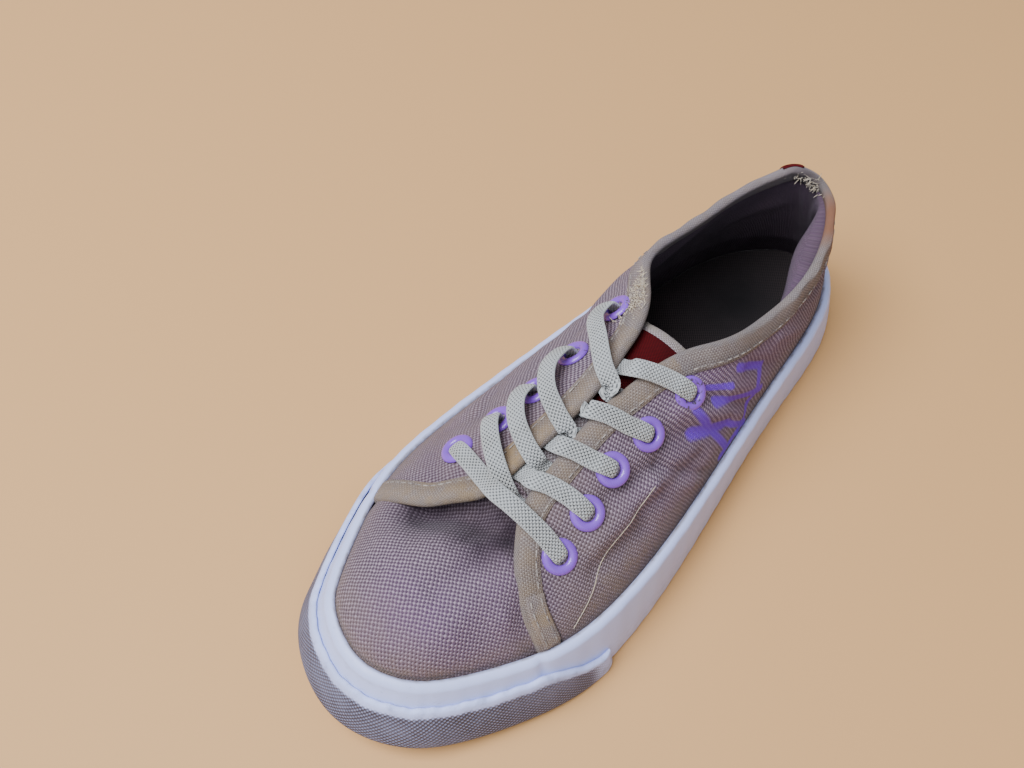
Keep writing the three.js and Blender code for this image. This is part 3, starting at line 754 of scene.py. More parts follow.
# Profile of the tape: flat on the outside, half round over the edge, flat on the inside, and back within;
# the outside is puffed by slow waves, and by fine ones where collar and throat meet
def makeBinding():
    reach, inside, rise, wall = binding["reach"], binding["innerReach"], binding["rise"], binding["wall"]
    half = (wall + 2 * rise) / 2
    turn = np.linspace(0, np.pi, 13)
    down = np.linspace(1, 0, 9)[:-1]
    distance = np.concatenate([[reach + 0.15], reach * down, -0.85 * half * np.sin(turn), inside * down[::-1],
                               [inside, 0.4, reach * 0.98]])[None, :]
    offset = np.concatenate([[0.0], np.where(down > 0.985, 0.72, 1.0) * rise,
                             rise - half + half * np.cos(turn), np.full(len(down), -wall - rise),
                             [0.2 - wall, 0.5 - wall, -0.3]])[None, :]
    puff = 0.2 * np.sin(edgeLength / 3.1) * np.sin(edgeLength / 7.7 + 1) + 0.14 * np.sin(edgeLength / 1.9)
    corner = spot(lastPoint(*edge.T), 90, -12, 8)
    puff = puff + corner * 0.3 * np.sin(edgeLength * 2.3) * np.sin(edgeLength * 0.9)
    offset = offset + puff[:, None] * (distance < reach * 0.9) * (offset > 0.1)
    points = nearEdge(np.maximum(distance, 0), offset)[0]
    points = points + inward[:, None, :] * np.minimum(distance, 0)[..., None]
    across = np.linspace(0, 1, distance.size)[None, :]
    cloth = clothOf(edgeLength[:, None], across * binding["girth"])
    return addTube("binding", points, tape, cloth, bindingWear(points, across))


# Lining of the quarters: a thin shell inside the wall, with slack folds at the heel
liningLook = {
    "pitch": 0.55, "weft": paint(106, 86, 100), "warp": paint(86, 66, 82), "lilac": paint(132, 104, 144),
    "soil": paint(110, 90, 84), "grimeAndShade": paint(26, 16, 22), "ink": paint(70, 50, 90), "wander": 0.6,
}
liningCloth = canvasMaterial("dark_lining", liningLook)
lining = {"columns": 260, "rows": 60, "gap": 0.15, "ripple": 0.5, "swelling": 7.5, "crease": 1.1}


# Its inner face is pushed in by ripples, by one broad swelling and by one crease, which end at the top
def makeLining():
    a, b = np.meshgrid(np.linspace(0.03, 0.97, lining["columns"]), np.linspace(-1, 0.955, lining["rows"]))
    s = quarterSection(a, b)
    w = np.where(b > 0, b * topShare(s), b)
    ripple = lining["ripple"] * np.sin(s * 4.2 + w * 3) * bump(w, 0.55, 0.3) * bump(s, 1.5, 3.5)
    swelling = lining["swelling"] * bump(s, 2.9, 1.2) * bump(w, 0.82, 0.22)
    crease = lining["crease"] * bump(s - 0.9 - (w - 0.6) * 1.2, 0, 0.25) * bump(w, 0.7, 0.25)
    fold = (swelling + crease) * easeStep((topShare(s) - w) / 0.06)
    outer = skin(s, w, -upperParts["clothThick"] - lining["gap"])
    inner = skin(s, w, -upperParts["wall"] - 0.1 - np.maximum(ripple, 0) - fold)
    # Darker low down inside the shoe, and half as dark on the swelling
    grimeAndShade = np.clip(1.15 - 0.95 * w, 0, 0.95) * (1 - 0.5 * bump(s, 2.9, 1.3) * bump(w, 0.8, 0.25))
    wear = wearOf(0.15, 0.3 + 0.3 * w, 0.0, grimeAndShade)
    return addShell("lining", outer, inner, liningCloth, quarterCloth(s, w), wear)


upperPieces += [makeBinding(), makeLining()]

# Sewing thread, the rows that are sewn with it along the binding, and the patch
threadLook = {"pale": paint(176, 166, 156), "dark": paint(92, 82, 84), "loose": paint(214, 196, 168)}


# Thread: its colour clouded by a darker one, with a fine relief
def threadMaterial(name, colour, dark):
    finish = Finish(name, roughness=0.85, specular=0.2, sheen=0.2)
    cloud = finish.noise(finish.place, 900.0, 3)
    colour = finish.mix(finish.band(cloud, 0.3, 0.75), colour, dark)
    return finish.done(colour, cloud, depth=0.0001, strength=0.5)


paleThread = threadMaterial("pale_thread", threadLook["pale"], threadLook["dark"])
darkThread = threadMaterial("dark_thread", threadLook["dark"], threadLook["pale"])
looseThread = threadMaterial("loose_thread", threadLook["loose"], threadLook["pale"])
sewing = {"step": 2.9, "patchLength": 18.0, "patchRise": 0.45}
edgeStep = edgeLength[1]


# Stitches along the edge at a distance from it, from one length along it to another
def edgeStitches(name, start, end, distance, offset, material):
    rows = np.round(np.arange(start, end, sewing["step"]) / edgeStep).astype(int)
    middles, s, w = nearEdge(distance, offset, rows)
    ways = unit((nearEdge(distance, offset, rows + 1)[0] - middles)[:, 0])
    normals = squareTo(lastNormal(s[:, 0], w[:, 0]), ways)
    return addThreads(name, stitchGrids(middles[:, 0], ways, normals), material)


# A second layer sewn over the foot of the outer binding, domed across its width
def makePatch():
    rows = slice(1, int(sewing["patchLength"] / edgeStep))
    across = np.linspace(0, 1, 15)[None, :]
    up = np.linspace(0, 1, rows.stop - rows.start)[:, None]
    rim = 1 - np.maximum(np.abs(2 * across - 1) ** 8, easeStep((up - 0.95) / 0.05))
    distance = 0.5 + across * (binding["reach"] - 0.2)
    outer = nearEdge(distance, binding["rise"] + 0.05 + sewing["patchRise"] * rim, rows)[0]
    inner = nearEdge(distance, binding["rise"] - 0.35, rows)[0]
    wear = canvasWear(outer, 0.5, 0.0)
    wear[..., 0] = 0.5 + 0.3 * bump(up, 0.55, 0.2)
    cloth = clothOf(up * sewing["patchLength"], distance)
    return addShell("binding_patch", outer, inner, tape, cloth, wear)


makePatch()
seamRise = binding["rise"] + sewing["patchRise"] + shoe["seat"]
patchEnd = sewing["patchLength"]
edgeStitches("patch_stitches_outer", 3, patchEnd - 1, 1.7, seamRise, darkThread)
edgeStitches("patch_stitches_inner", 3, patchEnd - 1, 4.7, seamRise, darkThread)
edgeStitches("binding_stitches", patchEnd + 2, edgeLength[-1] - 3, 4.5, binding["rise"] + 0.06, paleThread)
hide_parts("upper")
print("binding and lining ready")

# Rubber
# The dark scuff colour also serves as painted shade on the bumper
rubberLook = {
    "white": paint(200, 209, 255), "grey": paint(146, 148, 178), "soil": paint(136, 124, 114),
    "scuffAndShade": paint(70, 64, 74), "sole": paint(176, 170, 158), "soleDark": paint(110, 102, 92),
}


# Smooth white rubber with faint clouding, grey scuffs low down and dirt along the rim's groove; wear is red
# low down, green at the rim and blue where it is scraped
def foxingMaterial():
    finish = Finish("white_band_rubber", roughness=0.42, specular=0.5)
    low, rim, scrape, _ = finish.wear()
    cloud = finish.noise(finish.place, 30.0, 3)
    fine = finish.noise(finish.scaled(finish.place, (1, 1, 3)), 420.0, 4)
    colour = finish.mix(finish.band(cloud, 0.3, 0.7, (0.0, 0.12)), rubberLook["white"], rubberLook["grey"])
    colour = finish.mix(finish.patchy(low, fine, 0.4, 0.75, (0.05, 0.45)), colour, rubberLook["soil"])
    colour = finish.mix(finish.patchy(rim, fine, 0.3, 0.7, (0.3, 0.9)), colour, rubberLook["soil"])
    colour = finish.mix(finish.patchy(scrape, fine, 0.6, 0.85, (0.0, 0.5)), colour, rubberLook["scuffAndShade"])
    gloss = finish.band(fine, 0.2, 0.8, (0.34, 0.56))
    return finish.done(colour, fine, depth=0.00006, strength=0.5, roughness=gloss)


# Textured rubber: a fine diamond grain in the sheet's own coordinates, with grey dirt held between its
# crests, made darker
#  as painted shade, and scuffs over it; the face below the rim is darkened more as painted shade; the rim and
#  the ends, where wear is red, are smooth and plain
def bumperMaterial():
    finish = Finish("textured_bumper_rubber", roughness=0.6, specular=0.35)
    high = finish.wear()[0]
    grain = weave(finish, 0.75)
    cloud = finish.noise(finish.place, 60.0, 4)
    worn = finish.noise(finish.place, 300.0, 3)
    # Dirt between the crests, made darker as painted shade
    pitDirtAndShade = finish.mix(finish.band(cloud, 0.35, 0.7), rubberLook["scuffAndShade"], rubberLook["grey"])
    plain = finish.mix(finish.band(cloud, 0.3, 0.7, (0.0, 0.3)), rubberLook["white"], rubberLook["grey"])
    colour = finish.mix(finish.band(grain, -0.1, 0.6), pitDirtAndShade, plain)
    colour = finish.mix(high, colour, plain)
    colour = finish.mix(finish.times(finish.band(worn, 0.5, 0.75), 0.3), colour, rubberLook["scuffAndShade"])
    # Painted shade: the textured face, away from the rim and the ends, darkened toward the dark scuff colour
    colour = finish.mix(finish.band(high, 0.0, 0.6, (0.6, 0.0)), colour, rubberLook["scuffAndShade"])
    relief = finish.patchy(grain, high, 0.0, 0.8, (1.0, 0.0))
    return finish.done(colour, relief, depth=0.00025, strength=0.9)


# Clouded rubber, darker in the tread's cuts, where wear is red
def soleMaterial():
    finish = Finish("outsole_rubber", roughness=0.7, specular=0.3)
    cloud = finish.noise(finish.place, 45.0, 5)
    colour = finish.mix(finish.band(cloud, 0.3, 0.7), rubberLook["sole"], rubberLook["soleDark"])
    colour = finish.mix(finish.times(finish.wear()[0], 0.6), colour, rubberLook["soleDark"])
    return finish.done(colour, finish.noise(finish.place, 500.0, 3), depth=0.0001, strength=0.6)


bandRubber, bumperRubber, soleRubber = foxingMaterial(), bumperMaterial(), soleMaterial()
band = {"stations": 560, "rimRadius": 1.35, "joints": [9.5, 16.6], "touch": 0.6, "dent": 0.6, "groove": 0.22}


# Profile of the band: up the outside, over a soft rounded rim and down the inside; the outside has a faint
# step line and shallow dents where its ends are joined
def makeFoxing():
    s = np.linspace(0, around, band["stations"], endpoint=False)[:, None]
    x = sectionAt(s)[..., 0]
    thick, lip = shoe["bandThick"], shoe["bandThick"] + band["touch"]
    turn = np.linspace(0, np.pi, 11)
    size = (len(s), 1)
    outK = np.tile(np.concatenate([[0.0, 0.012, 0.04], np.linspace(0.1, 0.86, 16)]), size)
    outDepth = np.tile(np.concatenate([[0.5, 0.12, 0.0], np.zeros(16)]), size)
    rimK = 1 - (1 - np.sin(turn)) * band["rimRadius"] / (rimHeight(x) - floorHeight(x))
    rimDepth = np.tile(lip / 2 - np.cos(turn) * lip / 2, size)
    k = np.concatenate([outK, rimK, np.tile([0.7, 0.35, 0.0], size)], 1)
    depth = np.concatenate([outDepth, rimDepth, np.tile([lip, thick, thick], size)], 1)
    outside = np.arange(k.shape[1]) < outK.shape[1] + len(turn) // 2 + 1
    waves = 0.10 * np.sin(s * 5.3) * np.sin(s * 2.1 + 1) * k + 0.05 * np.sin(s * 17 + k * 4)
    dents = sum(band["dent"] * bump(s, at, 0.05) * easeStep((k - 0.5) / 0.3) for at in band["joints"])
    groove = band["groove"] * bump(k, 0.9, 0.02) * easeStep((x - 120) / 30)
    points = sidePoint(s, k, depth + outside * (waves + dents + groove))
    rim = bump(k, 0.985, 0.02) * ~outside + 0.8 * bump(k, 0.9, 0.02) * easeStep((x - 150) / 20)
    scrape = easeStep((x - 170) / 30) * 0.6 + 0.5 * bump(s, 3, 1.5)
    wear = wearOf(0.9 - k * 1.6, rim, scrape)
    return addTube("foxing_band", points, bandRubber, None, wear, ring=True)


bumperPart = {
    "from": 8.52, "to": 17.45, "thick": 1.6, "endThick": 0.5, "share": 0.74, "kink": 0.035, "gap": 0.3,
    "stations": 420, "middle": 12, "height": 22.0,
}


# The bumper's section rises from the floor to a slightly wavy rim; towards its ends it gets lower, and the
# last of it thins out
def makeBumper():
    part = bumperPart
    s = np.linspace(part["from"], part["to"], part["stations"])[:, None]
    end = np.minimum(s - part["from"], part["to"] - s)
    kink = part["kink"] * bump(end, 1.02, 0.1)
    high = part["share"] * (0.55 + 0.45 * easeStep(end)) + kink
    high = high + 0.008 * np.sin(s * 9) + 0.006 * np.sin(s * 23)
    thick = part["endThick"] + (part["thick"] - part["endThick"]) * np.sqrt(np.clip(end / 0.12 + 0.02, 0, 1))
    share = np.concatenate([[0.0, 0.0, 0.01], np.linspace(0.05, 0.9, 20), [0.94, 0.97, 0.99, 1.0, 1.0, 0.985],
                            [0.6, 0.3]])
    out = np.concatenate([[0.0, 0.7, 0.97], np.ones(20), [0.98, 0.93, 0.83, 0.6, 0.3, 0.0], [0.0, 0.0]])
    swell = 0.10 * np.sin(s * 6.1 + 0.7) * np.sin(share * np.pi) * (out > 0.5)
    points = sidePoint(s, share * high, -part["gap"] - out * thick - swell)
    middle = points[:, part["middle"]]
    cloth = clothOf(lengthsAlong(middle)[:, None], share * high * part["height"])
    wear = wearOf(np.maximum(easeStep((share - 0.82) / 0.1), 1 - easeStep(end / 0.5)))
    return addTube("bumper_strip", points, bumperRubber, cloth, wear)


# A sheet from side to side: for each reach from the toe its two edges are joined by straight lines
def plateGrid(depth, height, rows, columns):
    reach = np.linspace(shoe["toeSection"], 0.02, rows)[:, None]
    across = np.linspace(0, 1, columns)[None, :, None]
    sides = []
    for side in (1, -1):
        s = shoe["toeSection"] - side * reach
        x = sectionAt(s)[..., 0]
        sides.append(sidePoint(s, height / (rimHeight(x) - floorHeight(x)), depth))
    return sides[0] * (1 - across) + sides[1] * across


tread = {"rows": 300, "columns": 110, "top": 6.5, "pitch": 5.2, "level": 0.52, "deep": 1.1}


# Outsole with a low tread underneath: rows of shallow diamonds, cut into it where the distances of x + y and
# x - y from the middle of their pitch add up to more than a level
def makeOutsole():
    depth = shoe["bandThick"] + shoe["gap"]
    top = plateGrid(depth, tread["top"], tread["rows"], tread["columns"])
    bottom = plateGrid(depth, 0.0, tread["rows"], tread["columns"])
    x, y = bottom[..., 0], bottom[..., 1]
    diamond = sum(np.abs(np.mod(way / tread["pitch"], 1) - 0.5) for way in (x + y, x - y))
    across = np.linspace(0, 1, tread["columns"])[None, :]
    back = np.linspace(0, 1, tread["rows"])[:, None]
    inner = easeStep(np.minimum(across, 1 - across) / 0.05) * easeStep(np.minimum(back, 1 - back) / 0.02)
    cut = easeStep((diamond - tread["level"]) / 0.12) * inner
    bottom[..., 2] += cut * tread["deep"]
    return addShell("tread_sole", bottom, top, soleRubber, None, wearOf(cut))


insoleLook = {"cloth": paint(60, 50, 50), "dark": paint(16, 12, 14)}
insolePart = {
    "thick": 2.9, "inset": 1.9, "rows": 140, "columns": 60, "press": 0.9,
    "pressed": [(38, -3, 17), (155, 0, 24)],
}


# Insole cloth: dark, darker still where the heel and the ball have pressed and wear is red
def insoleMaterial():
    finish = Finish("insole_cloth", roughness=0.92, specular=0.15, sheen=0.15)
    threads = weave(finish, 0.5)
    cloud = finish.noise(finish.place, 50.0, 4)
    colour = finish.mix(finish.band(threads, -0.5, 0.5), insoleLook["dark"], insoleLook["cloth"])
    pressed = finish.patchy(finish.wear()[0], cloud, 0.2, 0.6, (0.6, 1.0))
    colour = finish.mix(pressed, colour, insoleLook["dark"])
    return finish.done(colour, finish.math("ABSOLUTE", threads), depth=0.00012, strength=0.7)


# Insole: a sheet on the outsole, pressed down by two bells, under the heel and under the ball
def makeInsole():
    part = insolePart
    depth = shoe["bandThick"] + 2 * shoe["gap"] + part["inset"]
    top = plateGrid(depth, shoe["soleTop"] + part["thick"], part["rows"], part["columns"])
    bottom = plateGrid(depth, shoe["soleTop"] + 0.1, part["rows"], part["columns"])
    x, y = top[..., 0], top[..., 1]
    pressed = sum(bump(np.hypot((x - atX) * 0.8, y - atY), 0, width) for atX, atY, width in part["pressed"])
    top[..., 2] -= part["press"] * pressed
    return addShell("insole_sheet", top, bottom, insoleMaterial(), clothOf(x, y), wearOf(pressed))


foxingBand, bumperStrip, treadSole, insoleSheet = makeFoxing(), makeBumper(), makeOutsole(), makeInsole()
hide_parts("foxing")
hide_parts("toe_bumper")
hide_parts("outsole")
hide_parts("insole")
print("rubber and insole ready")


# Tongue: a middle line under the throat, its half width and how far its sides hang down along it
tongue = {
    "line": np.array([[167, 1.4, 38.4], [158, 1.8, 39.7], [146, 2.1, 41.9], [130, 2.5, 45.2],
                      [114, 2.8, 48.3], [103, 3.1, 50.4], [93.5, 3.6, 52.8]]),
    "half": np.array([[0, 12], [0.2, 14], [0.75, 17], [0.9, 16], [0.95, 14.4], [0.975, 12.6], [0.99, 10.8],
                      [1, 8.4]]),
    "drop": np.array([[0, 9.5], [0.2, 10.5], [0.45, 11.5], [0.8, 14], [1, 11]]), "thick": 2.0, "from": 0.16,
    "cloth": (80.0, 16.0), "bead": 0.5, "wave": 0.5,
}


# Catmull-Rom curve: through its points, with tangents from each point's neighbours
def catmullRom(points, t):
    points = np.asarray(points, float)
    last = len(points) - 1
    padded = np.concatenate([[2 * points[0] - points[1]], points, [2 * points[-1] - points[-2]]])
    at = np.clip(t, 0, 1) * last
    i = np.minimum(np.floor(at).astype(int), last - 1)
    f = (at - i)[..., None]
    a, b, c, d = padded[i], padded[i + 1], padded[i + 2], padded[i + 3]
    square, cube = 2 * a - 5 * b + 4 * c - d, 3 * b - a - 3 * c + d
    return 0.5 * (2 * b + (c - a) * f + square * f ** 2 + cube * f ** 3)


# The middle line, q times the half width across, and down by the drop times q squared
def tonguePoint(t, q, lift):
    t, q, lift = np.broadcast_arrays(np.asarray(t, float), q, lift)
    middle = catmullRom(tongue["line"], t)
    way = unit(catmullRom(tongue["line"], np.clip(t + 0.004, 0, 1)) - catmullRom(tongue["line"], t - 0.004))
    normal = unit(np.stack([-way[..., 2], 0 * t, way[..., 0]], -1))
    normal = np.where(normal[..., 2:] < 0, -normal, normal)
    half = along(tongue["half"], t)
    down = -along(tongue["drop"], t) * q * q * (half / tongue["half"][:, 1].max()) ** 2
    side = np.stack([0 * t, q * half, 0 * t], -1)
    return middle + side + normal * (down + lift)[..., None]


tongueLook = dict(canvasLook, pitch=0.6, weft=paint(206, 196, 200), warp=paint(122, 110, 114),
                  soil=paint(150, 138, 120))


# Slow waves along and across the tongue, most in its middle
def tongueWave(t, q):
    return tongue["wave"] * np.sin(t * 21) * np.sin(q * 3 + 0.5) * bump(t, 0.55, 0.25)


# Cloth coordinates of the tongue and its label
def tongueCloth(t, q):
    return clothOf(t * tongue["cloth"][0], q * tongue["cloth"][1])


# Tongue: a sheet that thins out at its rim, with a bound edge that is a bell beside the rim
def makeTongue():
    t = np.linspace(tongue["from"], 1, 140)[:, None]
    q = np.linspace(-1, 1, 81)[None, :]
    rim = 1 - np.maximum(easeStep((np.abs(q) - 0.93) / 0.07), easeStep((t - 0.985) / 0.015))
    bead = np.maximum(bump(np.abs(q), 0.9, 0.05), bump(t, 0.96, 0.016)) * tongue["bead"]
    wave = tongueWave(t, q)
    outer = tonguePoint(t, q, bead + wave - (1 - rim) * 0.6)
    inner = tonguePoint(t, q, wave - tongue["thick"] * (0.35 + 0.65 * rim))
    soil = 0.35 + 0.5 * np.maximum(bump(np.abs(q), 0.95, 0.1), bump(t, 0.99, 0.03))
    wear = wearOf(soil, 0.25, 0.0, 0.25 * easeStep((0.8 - t) / 0.4))
    cloth = canvasMaterial("tongue_canvas", tongueLook)
    return addShell("tongue_strip", outer, inner, cloth, tongueCloth(t, q), wear)


labelLook = {"cloth": paint(84, 0, 6), "dark": paint(38, 0, 3), "edge": paint(26, 0, 4)}
label = {"ends": (0.58, 0.95), "half": 8.5, "thick": 0.5, "dome": 0.35}


# Woven label: fine ribs across, darker towards its folded ends, where wear is red
def wovenMaterial(name, look, pitch):
    finish = Finish(name, roughness=0.8, specular=0.15)
    threads = weave(finish, pitch)
    cloud = finish.noise(finish.place, 160.0, 3)
    colour = finish.mix(finish.band(threads, -0.6, 0.6), look["dark"], look["cloth"])
    colour = finish.mix(finish.band(cloud, 0.45, 0.8, (0.0, 0.35)), colour, look["dark"])
    colour = finish.mix(finish.wear()[0], colour, look["edge"])
    return finish.done(colour, threads, depth=0.0001, strength=0.6)


# Where values lie between two ends: from -1 at the first to 1 at the last
def between(v, ends):
    return (2 * v - ends[0] - ends[1]) / (ends[1] - ends[0])


# Label: it follows the tongue, domed by 1 less the fourth power across and the sixth along
def makeLabel():
    t = np.linspace(*label["ends"], 60)[:, None]
    q = np.linspace(-1, 1, 61)[None, :]
    side = q * label["half"] / along(tongue["half"], t)
    dome = label["dome"] * (1 - q ** 4) * (1 - between(t, label["ends"]) ** 6)
    wave = tongueWave(t, side)
    outer = tonguePoint(t, side, label["thick"] + dome + wave)
    inner = tonguePoint(t, side, shoe["seat"] + wave)
    fold = np.clip(bump(np.abs(q), 1, 0.06) + bump(t, label["ends"][0], 0.01), 0, 1) * 0.7
    woven = wovenMaterial("red_woven_label", labelLook, 0.35)
    return addShell("woven_label", outer, inner, woven, tongueCloth(t, side), wearOf(fold))


tabLook = {"cloth": paint(104, 6, 18), "dark": paint(56, 2, 10), "edge": paint(36, 2, 8)}
heelTab = {"sections": (-1.75, -0.4), "shares": (0.62, 1.05), "thick": 0.5, "dome": 0.9, "over": 1.3}


# Heel tab: a folded tab sewn flat on the back of the heel, domed, and bent inwards over the collar's edge
def makeHeelTab():
    s = np.linspace(*heelTab["sections"], 60)[:, None]
    w = np.linspace(*heelTab["shares"], 60)[None, :]
    across, up = between(s, heelTab["sections"]), between(w, heelTab["shares"])
    dome = heelTab["dome"] * (1 - across ** 6) * (1 - up ** 6)
    over = heelTab["over"] * easeStep((w - 0.97) / 0.08)
    outer = skin(s, w, binding["rise"] + heelTab["thick"] + dome - over)
    inner = skin(s, w, binding["rise"] + shoe["seat"] - over)
    wear = wearOf(bump(np.abs(across) + 0 * up, 1, 0.1))
    woven = wovenMaterial("red_woven_tab", tabLook, 0.4)
    return addShell("folded_tab", outer, inner, woven, clothOf(s * 12, w * 40), wear)


tongueStrip, wovenLabel, foldedTab = makeTongue(), makeLabel(), makeHeelTab()
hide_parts("tongue")
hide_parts("tongue_label")
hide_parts("heel_tab")
print("tongue, label and tab ready")


# Section and share of the skin's points nearest to some places
def nearSkin(places):
    s, w = np.meshgrid(np.arange(-9, 10.01, 0.05), np.linspace(0, 1, 61), indexing="ij")
    points = skin(s, w, 0.0).reshape(-1, 3)
    found = np.array([((points - place) ** 2).sum(1).argmin() for place in places])
    return s.ravel()[found], w.ravel()[found]


# Frays: middle and spread in mm, how many and how long
fraySpots = [
    ((17.6, -1.5, 53), (2.6, 7, 1.6), 260, 1.2), ((16.6, 0.5, 55), (1.2, 2.4, 0.4), 40, 1.8),
    ((89, -12, 53.8), (9.0, 5.0, 1.4), 420, 1.0),
]
fray = {"seed": 7, "heelEnd": 40, "heights": (-1.6, 0.35), "radius": 0.17, "threadRadius": 0.1}


# Beige frays inside the worn heel and on the inner corner of the collar, each at the skin's nearest point to
# a place drawn round its spot, leaning up and away from the cloth
def makeFrays():
    random = np.random.default_rng(fray["seed"])
    grids = []
    for middle, spread, count, length in fraySpots:
        places = np.array(middle) + random.normal(0, 0.5, (count, 3)) * np.array(spread)
        s, w = nearSkin(places)
        heel = places[:, 0] < fray["heelEnd"]
        roots = skin(s, w, np.where(heel, *fray["heights"]))
        away = lastNormal(s, w) * np.where(heel, -0.7, 0.5)[:, None]
        ways = unit(away + random.normal(0, 0.5, (count, 3)) + [0, 0, 0.6])
        curls = random.normal(0, 0.5, (count, 3))
        lengths = length * random.uniform(0.5, 1.3, count)
        grids.append(fibreGrids(roots, ways, curls, lengths, fray["radius"]))
    return addThreads("frayed_threads", np.concatenate(grids), looseThread)


# A pale thread that lies pulled out along the outer quarter: on the skin, its way smoothed by averaging
def makePulledThread():
    stops = [[125, 27, 37.5], [133, 28.5, 35], [141, 30, 33.5], [149, 30.5, 31], [158, 34, 27], [167, 36, 23]]
    s, w = (np.convolve(np.pad(share, 4, "edge"), np.ones(9) / 9, "valid")
            for share in nearSkin(catmullRom(stops, np.linspace(0, 1, 60))))
    path = skin(s, w, 0.16)
    way = unit(np.gradient(path, axis=0))
    side = unit(np.cross(way, [0.2, 0.6, 0.7]))
    ring = circles(side, np.cross(side, way), 6)
    return addThreads("pulled_thread", (path[:, None] + ring * fray["threadRadius"])[None], looseThread)


makeFrays()
makePulledThread()

# Eyelets: enamelled rings with a rolled flange and a barrel through the cloth
eyeletPart = {
    "flange": 4.95, "hole": 2.3, "rim": 1.0, "foot": 0.12, "barrel": 2.75, "depth": 2.6, "sides": 56,
    "seat": 0.05,
}
eyeletLook = {"enamel": paint(134, 80, 204), "worn": paint(102, 74, 134), "metal": paint(78, 64, 80)}


# Glossy enamel, worn through to dull grey where the wear attribute (red) and the noise agree, and dull inside
# its barrel (green)
def enamelMaterial():
    finish = Finish("violet_enamel", roughness=0.28, specular=0.5, coat=0.3)
    chipped, shade, _, _ = finish.wear()
    cloud = finish.noise(finish.place, 160.0, 3)
    fine = finish.noise(finish.place, 700.0, 4)
    colour = finish.mix(finish.band(cloud, 0.3, 0.7, (0.0, 0.18)), eyeletLook["enamel"], eyeletLook["worn"])
    chips = finish.band(finish.math("ADD", finish.times(chipped, 0.5), fine), 0.72, 0.8)
    colour = finish.mix(chips, colour, eyeletLook["metal"])
    colour = finish.mix(shade, colour, eyeletLook["metal"])
    gloss = finish.band(chips, 0, 1, (0.26, 0.6))
    return finish.done(colour, fine, depth=0.00004, strength=0.4, roughness=gloss)


enamel = enamelMaterial()


# Where an eyelet is: its centre, the cloth's normal, a way forward in the cloth, and its lift where it lies
# on the binding
def eyeletFrame(s, w):
    normal = lastNormal(s, w)
    forward = unit(lastPoint(s + 0.05, w) - lastPoint(s - 0.05, w))
    forward = squareTo(forward if forward[0] > 0 else -forward, normal)
    fromEdge = (topShare(s - around if s > shoe["toeSection"] else s) - w) * ribLength(s)
    lift = binding["rise"] if fromEdge < binding["reach"] + eyeletPart["flange"] else 0.0
    return {"centre": skin(s, w, 0.0), "normal": normal, "forward": forward, "lift": lift}


eyelets = {side: [eyeletFrame(*place) for place in places] for side, places in shoe["eyeletSections"].items()}
eyeletWear = {"lateral": [0.0, 0.02, 0.05, 0.15, 0.36], "medial": [0.0, 0.02, 0.06, 0.1, 0.3]}


# Profile turned round the eyelet's axis: barrel, underside and a rolled, half round flange
def makeEyelet(name, at, chipped):
    part = eyeletPart
    turn = np.linspace(0, np.pi, 15)
    middle, radius = (part["flange"] + part["hole"]) / 2, (part["flange"] - part["hole"]) / 2
    r = np.concatenate([[part["barrel"], part["barrel"], part["flange"]], middle + radius * np.cos(turn),
                        [part["hole"] - 0.02]])
    z = np.concatenate([[-part["depth"], 0.0, 0.0], part["foot"] + part["rim"] * np.sin(turn),
                        [-part["depth"]]])
    ring = circles(at["forward"], np.cross(at["normal"], at["forward"]), part["sides"])[:, None]
    height = (z + part["seat"] + at["lift"])[:, None]
    points = at["centre"] + ring * r[:, None] + at["normal"] * height
    wear = wearOf(np.full(points.shape[:2], chipped), (z < 0) * 0.8)
    piece = addTube(name, points, enamel, None, wear, ring=True)
    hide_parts(name.replace("ring", "eyelet"))


for side, frames in eyelets.items():
    for number, at in enumerate(frames):
        makeEyelet(f"ring_{side}_{number + 1}", at, eyeletWear[side][number])
print("eyelets ready")

# Lace: a flat knitted elastic
lace = {
    "width": 5.3, "thick": 1.1, "hole": 4.7, "end": 3.7, "under": 3.2, "startUnder": 3.9, "crown": 0.12,
    "knit": (0.62, 0.6), "step": 0.4, "sides": 28,
}
laceLook = {"light": paint(180, 181, 180), "dark": paint(52, 52, 54), "soil": paint(150, 146, 136)}


# Knit: cos(pi u / pitch) times cos(pi v / pitch) above a level gives dark gaps in a brick layout, which close
# up along the edges, where wear is red
def elasticMaterial():
    finish = Finish("knitted_elastic", roughness=0.9, specular=0.2, sheen=0.3)
    u, v, _ = finish.add("ShaderNodeSeparateXYZ", {0: finish.uv})
    long, wide = (finish.math("COSINE", finish.times(way, np.pi / pitch))
                  for way, pitch in zip((u, v), lace["knit"]))
    cloud = finish.noise(finish.place, 130.0, 3)
    share = finish.band(finish.times(long, wide), 0.15, 0.65)
    share = finish.patchy(share, finish.wear()[0], 0.0, 1.0, (1.0, 0.25))
    share = finish.patchy(share, cloud, 0.25, 0.7, (0.7, 1.0))
    colour = finish.mix(finish.band(cloud, 0.4, 0.75, (0.0, 0.4)), laceLook["light"], laceLook["soil"])
    colour = finish.mix(share, colour, laceLook["dark"])
    height = finish.math("SUBTRACT", finish.math("ABSOLUTE", long), finish.times(share, 1.2))
    return finish.done(colour, height, depth=0.00025, strength=0.9)


elastic = elasticMaterial()


